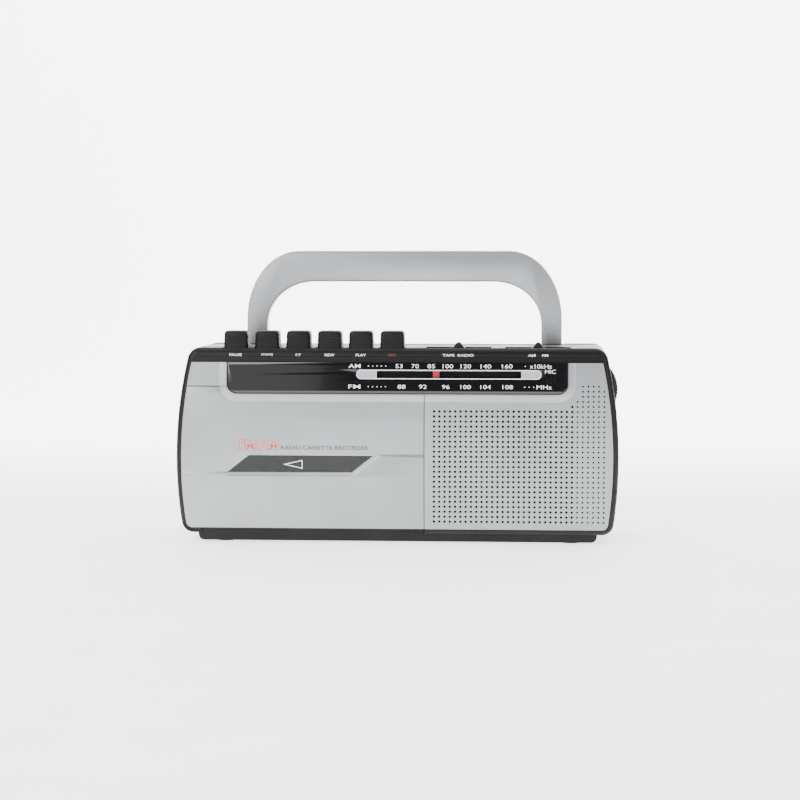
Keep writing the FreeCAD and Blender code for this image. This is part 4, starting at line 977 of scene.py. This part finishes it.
def door_skin():
    """The door cover with its edges softened and its lower field raised by a smooth step."""
    low, high = corners("door_cover")
    bm = bmesh.new()
    bm.from_mesh(frame["nodes"]["door_cover"].data)
    bmesh.ops.scale(bm, vec=(1 / MM,) * 3, verts=bm.verts)
    bmesh.ops.remove_doubles(bm, verts=bm.verts, dist=DOOR_MERGE)
    bmesh.ops.dissolve_limit(bm, angle_limit=FLAT_ENOUGH, verts=bm.verts, edges=bm.edges)
    rim = [e for e in edges_over(bm, 50) if all(v.co.y < front_at(v.co.z) + 0.1 for v in e.verts)]
    bevelled(bm, rim, DOOR_EDGE, 3)
    slant, normal = window_slant()
    heights = [low.z + n * (high.z - low.z) / DOOR_BANDS for n in range(1, DOOR_BANDS)]
    heights += [WINDOW_LOW.z, WINDOW_LOW.z - FIELD_SLOPE, WINDOW_LOW.z - FIELD_EDGE, RIGHT_CREASE]
    heights += [WINDOW_LOW.z - FIELD_EDGE - FIELD_SLOPE, RIGHT_CREASE - FIELD_SLOPE]
    heights += [WINDOW_LOW.z - FIELD_SLOPE / 2, RIGHT_CREASE - FIELD_SLOPE / 2]
    cuts = [(Vector((0, 0, z)), Vector((0, 0, 1))) for z in heights]
    cuts += [(slant + normal * FIELD_SLOPE * n / 2, normal) for n in range(3)]
    cuts += [(Vector((WINDOW_LOW.x - FIELD_SLOPE * n / 2, 0, 0)), Vector((1, 0, 0))) for n in range(3)]
    for place, way in cuts:
        cut_across(bm, place, way, reach=DOOR_CUT_REACH)
    bmesh.ops.triangulate(bm, faces=[f for f in bm.faces if len(f.verts) > 4])
    for v in bm.verts:
        if v.co.y < front_at(v.co.z) + DOOR_SKIN:
            v.co.y -= door_relief(v.co.x, v.co.z)
    piece(bm, "door_skin", "door", "silver_paint", stands_for=["door_cover"])


DEVICE_WORDS = "RADIO CASSETTE RECORDER"
DEVICE_WORDS_AT = (-35.8, 48.6)
DEVICE_WORDS_HEIGHT = 2.0
DEVICE_WORDS_WIDTH = 44
BAND_NAME = "FM/AM"
BAND_NAME_AT = (-69, 50)
BAND_NAME_HEIGHT = 4.4
BAND_NAME_WIDTH = 19.2
OUTLINE_HEIGHT = 5.2
OUTLINE_WIDTH = 20

ARROW_TIP = -56.8
ARROW_BASE = -46.9
ARROW_ROW = 40.15
ARROW_HALF = 2.25
ARROW_LINE = 0.42
ARROW_LIFT = 0.02


def door_words():
    """The kind of device, and the two bands in a bright outline."""
    front = front_of("door_cover")
    bm = bmesh.new()
    letters(bm, DEVICE_WORDS, DEVICE_WORDS_AT, DEVICE_WORDS_HEIGHT, front, width=DEVICE_WORDS_WIDTH,
            weight=0.01)
    piece(bm, "door_words", "door", print_ink=grey_print)
    bm = bmesh.new()
    letters(bm, BAND_NAME, BAND_NAME_AT, OUTLINE_HEIGHT, front, width=OUTLINE_WIDTH, weight=0.035)
    piece(bm, "band_name_outline", "door", print_ink=orange_print)
    bm = bmesh.new()
    letters(bm, BAND_NAME, BAND_NAME_AT, BAND_NAME_HEIGHT, front, width=BAND_NAME_WIDTH, weight=-0.012,
            lift=0.08)
    piece(bm, "band_name", "door", print_ink=silver_print)


def direction_arrow():
    """The outline of an arrow on the window: it points the way the tape runs."""
    bm = bmesh.new()
    length = ARROW_BASE - ARROW_TIP
    top, bottom = ARROW_ROW + ARROW_HALF, ARROW_ROW - ARROW_HALF
    outer = [(ARROW_TIP, ARROW_ROW), (ARROW_BASE, top), (ARROW_BASE, bottom)]
    reach = ARROW_LINE * math.hypot(length, ARROW_HALF) / ARROW_HALF
    base = ARROW_BASE - ARROW_LINE
    rise = ARROW_HALF * (length - ARROW_LINE - reach) / length
    inner = [(ARROW_TIP + reach, ARROW_ROW), (base, ARROW_ROW + rise), (base, ARROW_ROW - rise)]
    ringed(bm, outer, inner, 0, PRINT_THICKNESS)
    follow(bm, front_of("door_window"), ARROW_LIFT)
    piece(bm, "direction_arrow", "door", print_ink=white_print)


# ---------------------------------------------------------------- the dial

SLOT_LOW = (-19.6, 83.4)
SLOT_HIGH = (72.4, 87.4)
SLOT_ROUND = 1.95
LENS_THICKNESS = 1.45
LENS_BACK = 1.6
LENS_EDGE = 0.3
LENS_BANDS = 10

AM_ROW = 89.6
FM_ROW = 79.3
NUMBER_HEIGHT = 2.0
NUMBER_STRETCH = 1.45
AM_NUMBERS = (("53", 1.5), ("70", 9.6), ("85", 17.7), ("100", 26), ("120", 35), ("140", 45), ("160", 55.7))
FM_NUMBERS = (("88", 2.8), ("92", 13.5), ("96", 25), ("100", 34.9), ("104", 44.9), ("108", 55.9))
# Words on the lens: what they say, their middle, their height and width, and how bold they are.
LENS_WORDS = (
    ("AM", (-20.9, AM_ROW), NUMBER_HEIGHT, 6.0, 0.004),
    ("FM", (-20.9, FM_ROW), NUMBER_HEIGHT, 6.0, 0.004),
    ("x10kHz", (72.4, AM_ROW), 2.1, 11, 0.0),
    ("MHz", (74.1, FM_ROW), NUMBER_HEIGHT, 7.5, 0.0),
    ("MIC", (77.2, 87.0), 1.9, 5.4, 0.0),
)
# Rows of dots on the lens: the first dot's place, the pitch and the number of dots.
DOT_ROWS = (
    (-13.9, AM_ROW, 2.17, 5),
    (-13.9, FM_ROW, 2.17, 5),
    (64.7, AM_ROW, 1.0, 1),
    (64.4, FM_ROW, 2.25, 3),
)
DOT = 0.55
LENS_INK = 0.05
LENS_INK_LIFT = 0.02

MIC_SLOTS = 3
MIC_LEFT = 75.6
MIC_PITCH = 1.9
MIC_ROW = 82.5
MIC_OUTER = (0.5, 1.5)
MIC_INNER = (0.32, 1.3)
MIC_LIP = 0.12

LINE_OUTSIDE = 0.3
LINE_INSIDE = 0.12
SCALE_LEFT = -9.7
SCALE_RIGHT = 62.6
SCALE_DEPTH = 0.6
SCALE_THICKNESS = 0.5


def lens_front(x, z):
    """The front face of the dial bar."""
    return front_at(z) + LENS_BACK - LENS_THICKNESS


def dial_lens():
    """The dark acrylic bar, with a clear slot over the scale, its edges softened."""
    low, high = DIAL_LOW, DIAL_HIGH
    bm = bmesh.new()
    outline = (
        arc((low.x + DIAL_ROUND, low.z + DIAL_ROUND), (DIAL_ROUND, DIAL_ROUND), 180, 270, 8)
        + arc((high.x - DIAL_ROUND, low.z + DIAL_ROUND), (DIAL_ROUND, DIAL_ROUND), 270, 360, 8)
        + [(high.x, high.z), (low.x, high.z)]
    )
    rings = []
    for points in (outline, rounded_box(SLOT_LOW, SLOT_HIGH, SLOT_ROUND, 6)):
        ring = [bm.verts.new((x, 0, z)) for x, z in points]
        rings += [bm.edges.new((ring[n - 1], ring[n])) for n in range(len(ring))]
    bmesh.ops.triangle_fill(bm, edges=rings, use_beauty=True, use_dissolve=False)
    raised(bm, bm.faces[:], (0, -LENS_THICKNESS, 0))
    turned_out(bm)
    rim = [e for e in edges_over(bm, 60) if all(v.co.y < -LENS_THICKNESS / 2 for v in e.verts)]
    bevelled(bm, rim, LENS_EDGE)
    for n in range(1, LENS_BANDS):
        cut_across(bm, (0, 0, low.z + n * (high.z - low.z) / LENS_BANDS), (0, 0, 1))
    follow(bm, swell, -LENS_BACK)
    piece(bm, "dial_bar", "cabinet", "dial_glass", stands_for=["dial_lens"])


def dial_numbers():
    """The band names, the two rows of numbers, the units and the dots."""
    bm = bmesh.new()
    on_lens = {"lift": LENS_INK_LIFT, "thickness": LENS_INK}
    for words, place, height, width, weight in LENS_WORDS:
        letters(bm, words, place, height, lens_front, width=width, weight=weight, **on_lens)
    for row, numbers in ((AM_ROW, AM_NUMBERS), (FM_ROW, FM_NUMBERS)):
        for number, x in numbers:
            letters(bm, number, (x, row), NUMBER_HEIGHT, lens_front, stretch=NUMBER_STRETCH, **on_lens)
    marks = bmesh.new()
    for start, row, pitch, count in DOT_ROWS:
        for n in range(count):
            place = (start + n * pitch, row)
            plate(marks, box_about(place, (DOT / 2, DOT / 2), DOT / 2.01, 2), 0, LENS_INK)
    turned_out(marks)
    follow(marks, lens_front, LENS_INK_LIFT)
    poured(bm, marks)
    piece(bm, "dial_numbers", "cabinet", print_ink=white_print)


def microphone_slots():
    """Three upright slots with a thin rim each."""
    bm = bmesh.new()
    for n in range(MIC_SLOTS):
        place = (MIC_LEFT + MIC_PITCH * n, MIC_ROW)
        ringed(bm, box_about(place, MIC_OUTER, 0.45, 3), box_about(place, MIC_INNER, 0.3, 3), 0, MIC_LIP)
    follow(bm, lens_front, -LENS_INK_LIFT)
    piece(bm, "microphone_slots", "cabinet", "key_black")


def scale_outline():
    """A white line round the clear slot."""
    bm = bmesh.new()
    middle = ((SLOT_LOW[0] + SLOT_HIGH[0]) / 2, (SLOT_LOW[1] + SLOT_HIGH[1]) / 2)
    reach = (SLOT_HIGH[0] - middle[0], SLOT_HIGH[1] - middle[1])
    outer = box_about(middle, (reach[0] + LINE_OUTSIDE, reach[1] + LINE_OUTSIDE), 2.2, 6)
    inner = box_about(middle, (reach[0] - LINE_INSIDE, reach[1] - LINE_INSIDE), 1.8, 6)
    ringed(bm, outer, inner, 0, LENS_INK)
    follow(bm, lens_front, LENS_INK_LIFT)
    piece(bm, "scale_outline", "cabinet", print_ink=white_print)


def scale_end(name, left, right):
    """A silver end of the slot: round at the outside and square towards the scale."""
    bm = bmesh.new()
    outline = rounded_box((left, SLOT_LOW[1]), (right, SLOT_HIGH[1]), 1.9, 6)
    middle = (left + right) / 2
    if left < SCALE_LEFT:
        squared = [(x if x < middle else right, z) for x, z in outline]
    else:
        squared = [(x if x >= middle else left, z) for x, z in outline]
    plate(bm, squared, 0, SCALE_THICKNESS)
    bmesh.ops.remove_doubles(bm, verts=bm.verts, dist=0.02)
    turned_out(bm)
    follow(bm, lens_front, -SCALE_DEPTH)
    piece(bm, name, "cabinet", print_ink=silver_print)


# ---------------------------------------------------------------- keys, knobs and wheels

KEY_ROUND = 2.2
KEY_BACK = -15.5
KEY_FOOT = 96.3
KEY_TAPER = 0.055
RIB_MARGIN = 2.4
RIB_PITCH = 0.8
# The groove between two ribs: how far up, and how much of the outline is left off there.
RIB_GROOVE = ((0.0, 0.0), (0.12, 0.02), (0.3, 0.02), (0.42, 0.0))
# The crown of a key: how far below its top, and how much of its outline is left off there.
KEY_CROWN = ((1.6, 0.0), (0.9, 0.025), (0.35, 0.08), (0.06, 0.17), (0.0, 0.27), (0.05, 0.4), (0.25, 0.65))
KEY_TOP = 0.945
# The stem under a key: it is narrower than the key, and laps into its foot.
STEM_INSET = 3
STEM_FRONT = -24
STEM_BACK = -19
STEM_LENGTH = 6
STEM_LAP = 1


def key_cap(name):
    """A tall key: ribs across its face, a dished top with round edges, and a stem down into the cabinet."""
    node = name + "_key"
    low, high = corners(node)
    levels = [(KEY_FOOT, 1.0)]
    z = KEY_FOOT + RIB_MARGIN
    while z < high.z - RIB_MARGIN:
        share = 1 - KEY_TAPER * (z - KEY_FOOT) / (high.z - KEY_FOOT)
        levels += [(z + up, share - depth) for up, depth in RIB_GROOVE]
        z += RIB_PITCH
    levels += [(high.z - below, KEY_TOP - less) for below, less in KEY_CROWN]
    bm = bmesh.new()
    tower(bm, rounded_box((low.x, low.y), (high.x, KEY_BACK), KEY_ROUND, 5), levels)
    stem = rounded_box((low.x + STEM_INSET, STEM_FRONT), (high.x - STEM_INSET, STEM_BACK), 0.5, 1)
    tower(bm, stem, [(KEY_FOOT - STEM_LENGTH, 1.0), (KEY_FOOT + STEM_LAP, 1.0)])
    turned_out(bm)
    piece(bm, name + "_cap", name, "key_black", stands_for=[node])


CONTROL_WORD_ROW = 95.0
CONTROL_WORD_HEIGHT = 1.25
CONTROL_WORD_WEIGHT = 0.004
CONTROL_WORD_LIFT = 0.72
SWITCH_WORDS = (("function_slider", "TAPE  RADIO"), ("band_slider", "AM    FM"))


def control_word(name, words, node, visor_front, print_ink, aside=0.0, stretch=1.3):
    """A word on the visor in front of a key or a switch."""
    low, high = corners(node)
    place = ((low.x + high.x) / 2 + aside, CONTROL_WORD_ROW)
    bm = bmesh.new()
    letters(bm, words, place, CONTROL_WORD_HEIGHT, visor_front, weight=CONTROL_WORD_WEIGHT, stretch=stretch,
            lift=CONTROL_WORD_LIFT)
    piece(bm, name, "cabinet", print_ink=print_ink)


def control_words():
    """What each key and each switch does, in white, with the record key's in dark red."""
    visor_front = front_of("front_cabinet")
    for name, words in zip(KEYS, KEY_WORDS):
        colour = dark_red_print if name == "record" else white_print
        control_word(name + "_word", words, name + "_key", visor_front, colour, aside=0.4)
    for node, words in SWITCH_WORDS:
        control_word(node + "_words", words, node, visor_front, white_print, stretch=1.5)


# A slide switch's knob: its two ends in depth, its foot and shoulder in height, and its steps.
KNOB_BACK = -17.5
KNOB_FRONT = -26.5
KNOB_FOOT = 97.0
KNOB_SHOULDER = 98.0
KNOB_STEPS = 5
KNOB_RIDGE = 0.35
KNOB_LEDGE = 0.3
KNOB_PEAK = 0.9
KNOB_TIP = 0.5
KNOB_EDGE = 0.12
KNOB_STEM = (1.2, 0.6)


def slider_knob(node, body):
    """A ridged saddle: it steps up from both ends to a peak."""
    low, high = corners(node)
    middle = (low.x + high.x) / 2
    half = (high.x - low.x) / 2
    side = [(half, KNOB_FOOT), (half, KNOB_SHOULDER)]
    for n in range(KNOB_STEPS):
        reach = half - KNOB_LEDGE - (half - KNOB_PEAK) * n / KNOB_STEPS
        rise = KNOB_SHOULDER + (high.z - KNOB_SHOULDER) * (n + 0.5) / KNOB_STEPS
        side += [(reach, rise), (reach - KNOB_RIDGE, rise)]
    side += [(KNOB_TIP, high.z)]
    outline = [(middle + x, z) for x, z in side] + [(middle - x, z) for x, z in reversed(side)]
    bm = bmesh.new()
    plate(bm, outline, KNOB_BACK, KNOB_BACK - KNOB_FRONT)
    turned_out(bm)
    bevelled(bm, edges_over(bm, 80), KNOB_EDGE)
    stem = box_about((middle, (KNOB_BACK + KNOB_FRONT) / 2), KNOB_STEM, 0.3, 1)
    tower(bm, stem, [(low.z, 1.0), (KNOB_FOOT + 0.5, 1.0)])
    piece(bm, node + "_knob", body, "key_black", stands_for=[node])


# In millimetres: how deep a tooth is cut, and how wide the rim's bevel is.
TOOTH_DEPTH = 0.34
RIM_EDGE = 0.5
# As shares of the radius: the bevel's end, the rim's inside, the dish's two edges, and the hub.
RIM_SHOULDER = 0.93
RIM_INSIDE = 0.55
DISH_OUTSIDE = 0.5
DISH_INSIDE = 0.12
HUB = 0.13


def thumb_wheel(node, body, width, teeth, dish):
    """A thumb wheel with a knurled rim and dished faces, on its hub."""
    low, high = corners(node)
    radius = (high.z - low.z) / 2
    rim_back = low.y + width
    centre = Vector(((low.x + high.x) / 2, 0, (low.z + high.z) / 2))
    points = 4 * teeth
    turns = [2 * math.pi * n / points for n in range(points)]
    rim = [radius - (0.0 if n % 4 < 2 else TOOTH_DEPTH) for n in range(points)]
    profile = [
        (low.y, RIM_INSIDE),
        (low.y, RIM_SHOULDER),
        (low.y + RIM_EDGE, 1.0),
        (rim_back - RIM_EDGE, 1.0),
        (rim_back, RIM_SHOULDER),
        (rim_back, RIM_INSIDE),
        (rim_back - dish, DISH_OUTSIDE),
        (rim_back - dish, DISH_INSIDE),
        (low.y + dish, DISH_INSIDE),
        (low.y + dish, DISH_OUTSIDE),
    ]
    bm = bmesh.new()
    loops = []
    for y, share in profile:
        verts = []
        for turn, toothed in zip(turns, rim):
            reach = share * (toothed if share == 1.0 else radius)
            verts.append(bm.verts.new(centre + Vector((math.cos(turn) * reach, y, math.sin(turn) * reach))))
        loops.append([bm.edges.new((verts[n - 1], verts[n])) for n in range(len(verts))])
    for n in range(len(loops)):
        bmesh.ops.bridge_loops(bm, edges=loops[n - 1] + loops[n])
    turned_out(bm)
    place = Matrix.Translation((centre.x, (low.y + high.y) / 2, centre.z))
    upright = Matrix.Rotation(math.radians(90), 4, "X")
    bmesh.ops.create_cone(bm, cap_ends=True, segments=32, radius1=radius * HUB, radius2=radius * HUB,
                          depth=high.y - low.y, matrix=place @ upright)
    piece(bm, node + "_rim", body, "key_black", stands_for=[node])


# ---------------------------------------------------------------- the handle

# The bow: the width of a leg and of the bar, and the reach (across, up) of the oval at each shoulder.
HANDLE_LEG = 10.8
HANDLE_BAR = 16.2
SHOULDER_OUTER = (27.6, 36.0)
SHOULDER_INNER = (24.9, 22.3)
SHOULDER_STEPS = 14
HANDLE_EDGE = 0.9


def carry_handle():
    """The flat bow of the handle: wide oval shoulders outside, rounder inside, with bevelled edges."""
    low, high = corners("carry_handle")
    half = high.x
    foot = HANDLE_LEG / 2
    foot_height = low.z + foot
    outer_height = high.z - SHOULDER_OUTER[1]
    inner_height = high.z - HANDLE_BAR - SHOULDER_INNER[1]
    outer_middle = half - SHOULDER_OUTER[0]
    inner_middle = half - HANDLE_LEG - SHOULDER_INNER[0]
    outline = (
        arc((half - foot, foot_height), (foot, foot), 180, 360, 10)
        + arc((outer_middle, outer_height), SHOULDER_OUTER, 0, 90, SHOULDER_STEPS)
        + arc((-outer_middle, outer_height), SHOULDER_OUTER, 90, 180, SHOULDER_STEPS)
        + arc((foot - half, foot_height), (foot, foot), 180, 360, 10)
        + arc((-inner_middle, inner_height), SHOULDER_INNER, 180, 90, SHOULDER_STEPS)
        + arc((inner_middle, inner_height), SHOULDER_INNER, 90, 0, SHOULDER_STEPS)
    )
    bm = bmesh.new()
    plate(bm, outline, high.y, high.y - low.y)
    turned_out(bm)
    bevelled(bm, edges_over(bm, 80), HANDLE_EDGE, 3)
    piece(bm, "handle_bow", "handle", "silver_handle", stands_for=["carry_handle"])


# ---------------------------------------------------------------- the back

# The screws' places: how far in from the outermost screw head's edge, and their height.
SCREWS = ((2.6, 39.0), (3.6, 62.0))
CROSS_ARM = (2.6, 0.08, 0.6)
CROSS_EDGE = 0.03


def painted_recess_shade_crosses():
    """A thin dark cross laid on each screw head: painted shade where its cross recess would lie in shadow.
    """
    low, high = corners("cabinet_screws")
    bm = bmesh.new()
    for inset, z in SCREWS:
        for x in (low.x + inset, high.x - inset):
            for turned in (45, 135):
                place = Matrix.Translation((x, high.y, z)) @ Matrix.Rotation(math.radians(turned), 4, "Y")
                # Each arm is a thin dark bar laid on the head: painted shade of the recess, not a cut.
                arm = bmesh.ops.create_cube(bm, size=1.0, matrix=place @ Matrix.Diagonal((*CROSS_ARM, 1)))
                bevelled(bm, {e for v in arm["verts"] for e in v.link_edges}, CROSS_EDGE, 1)
    piece(bm, "screw_recess_shades", "cabinet", "rubber_black")


# The ridges: how many, how high each is, their pitch, the first one's depth below the door's top, half the
# length of the first, and how much shorter each next one is at both ends.
GRIP_RIDGES = 9
GRIP_RIDGE = 0.7
GRIP_PITCH = 1.5
GRIP_TOP = 6
GRIP_HALF = 11
GRIP_TAPER = 0.5
GRIP_SIDE = 70
GRIP_PROUD = 0.3
GRIP_THICKNESS = 0.5
GRIP_EDGE = 0.12


def battery_door_grip():
    """Two sets of ridges to push on, shorter downwards, moulded on the battery door."""
    high = corners("battery_door")[1]
    bm = bmesh.new()
    for n in range(GRIP_RIDGES):
        z = high.z - GRIP_TOP - n * GRIP_PITCH
        half = (GRIP_HALF - GRIP_TAPER * n, GRIP_RIDGE / 2)
        for side in (-GRIP_SIDE, GRIP_SIDE):
            plate(bm, box_about((side, z), half, GRIP_RIDGE / 2.02, 4), high.y + GRIP_PROUD, GRIP_THICKNESS)
    turned_out(bm)
    bevelled(bm, edges_over(bm, 80), GRIP_EDGE)
    piece(bm, "battery_door_grip", "battery_cover", "black_case")


RATING_MIDDLE = (0, 55)
RATING_OUTER = (46, 11)
RATING_INNER = (45.2, 10.2)
RATING_PROUD = 0.3
RATING_ROOT = 0.1


def rating_panel():
    """A shallow raised border on the back, where such sets have their blank rating plate."""
    bm = bmesh.new()
    ringed(bm, box_about(RATING_MIDDLE, RATING_OUTER, 2, 5), box_about(RATING_MIDDLE, RATING_INNER, 1.4, 5),
           0, RATING_PROUD)
    recess = back_of("rear_cabinet")
    for v in bm.verts:
        on_front = v.co.y < -RATING_PROUD / 2
        v.co.y = recess(v.co.x, v.co.z) + (RATING_PROUD if on_front else -RATING_ROOT)
    turned_out(bm)
    piece(bm, "rating_border", "cabinet", "black_case")


# ---------------------------------------------------------------- the floor

# In metres: how far the floor runs to the sides and forwards, where it bends, and how high it rises.
FLOOR_REACH = 3.0
FLOOR_BACK = 1.3
FLOOR_WALL = 2.2
FLOOR_BEND = 0.5
FLOOR_TURNS = 10
FLOOR_GLOW = 2.1


def add_floor():
    """A glowing white sheet that runs back under the set and bends up behind it."""
    bm = bmesh.new()
    bend = [math.radians(90 * n / FLOOR_TURNS) for n in range(FLOOR_TURNS + 1)]
    profile = [(-FLOOR_REACH, 0.0)]
    start = FLOOR_BACK - FLOOR_BEND
    profile += [(start + FLOOR_BEND * math.sin(t), FLOOR_BEND * (1 - math.cos(t))) for t in bend]
    profile += [(FLOOR_BACK, FLOOR_WALL)]
    line = [bm.verts.new((-FLOOR_REACH, y, z)) for y, z in profile]
    edges = [bm.edges.new(pair) for pair in zip(line, line[1:])]
    grown = bmesh.ops.extrude_edge_only(bm, edges=edges)["geom"]
    bmesh.ops.translate(bm, vec=(2 * FLOOR_REACH, 0, 0), verts=verts_of(grown))
    turned_out(bm)
    mesh = bpy.data.meshes.new("studio_floor")
    bm.to_mesh(mesh)
    bm.free()
    mesh.polygons.foreach_set("use_smooth", [True] * len(mesh.polygons))
    floor = bpy.data.objects.new("studio_floor", mesh)
    bpy.context.scene.collection.objects.link(floor)
    paper = grained("studio_floor", (0.9, 0.9, 0.9, 1), (0.88, 0.88, 0.88, 1), rough=0.7, grains=500,
                    grain_height=0.0, dust=0.0)
    glow = node_of(paper.node_tree, "BsdfPrincipled").inputs
    glow["Emission Color"].default_value = (1, 1, 1, 1)
    glow["Emission Strength"].default_value = FLOOR_GLOW
    mesh.materials.append(paper)


# ---------------------------------------------------------------- putting it together

make_camera()
make_lights()
add_floor()
dress_the_frame()
speaker_panel_lip()
corner_panel_lip()
door_lip()
visor()
door_skin()
door_words()
direction_arrow()
dial_lens()
dial_numbers()
microphone_slots()
scale_outline()
scale_end("scale_end_left", SLOT_LOW[0], SCALE_LEFT)
scale_end("scale_end_right", SCALE_RIGHT, SLOT_HIGH[0])
for key in KEYS:
    key_cap(key)
control_words()
slider_knob("function_slider", "function_switch")
slider_knob("band_slider", "band_switch")
thumb_wheel("tuning_wheel", "tuner", width=5.8, teeth=107, dish=1.2)
thumb_wheel("volume_wheel", "volume", width=4.8, teeth=69, dish=1.0)
carry_handle()
painted_recess_shade_crosses()
battery_door_grip()
rating_panel()
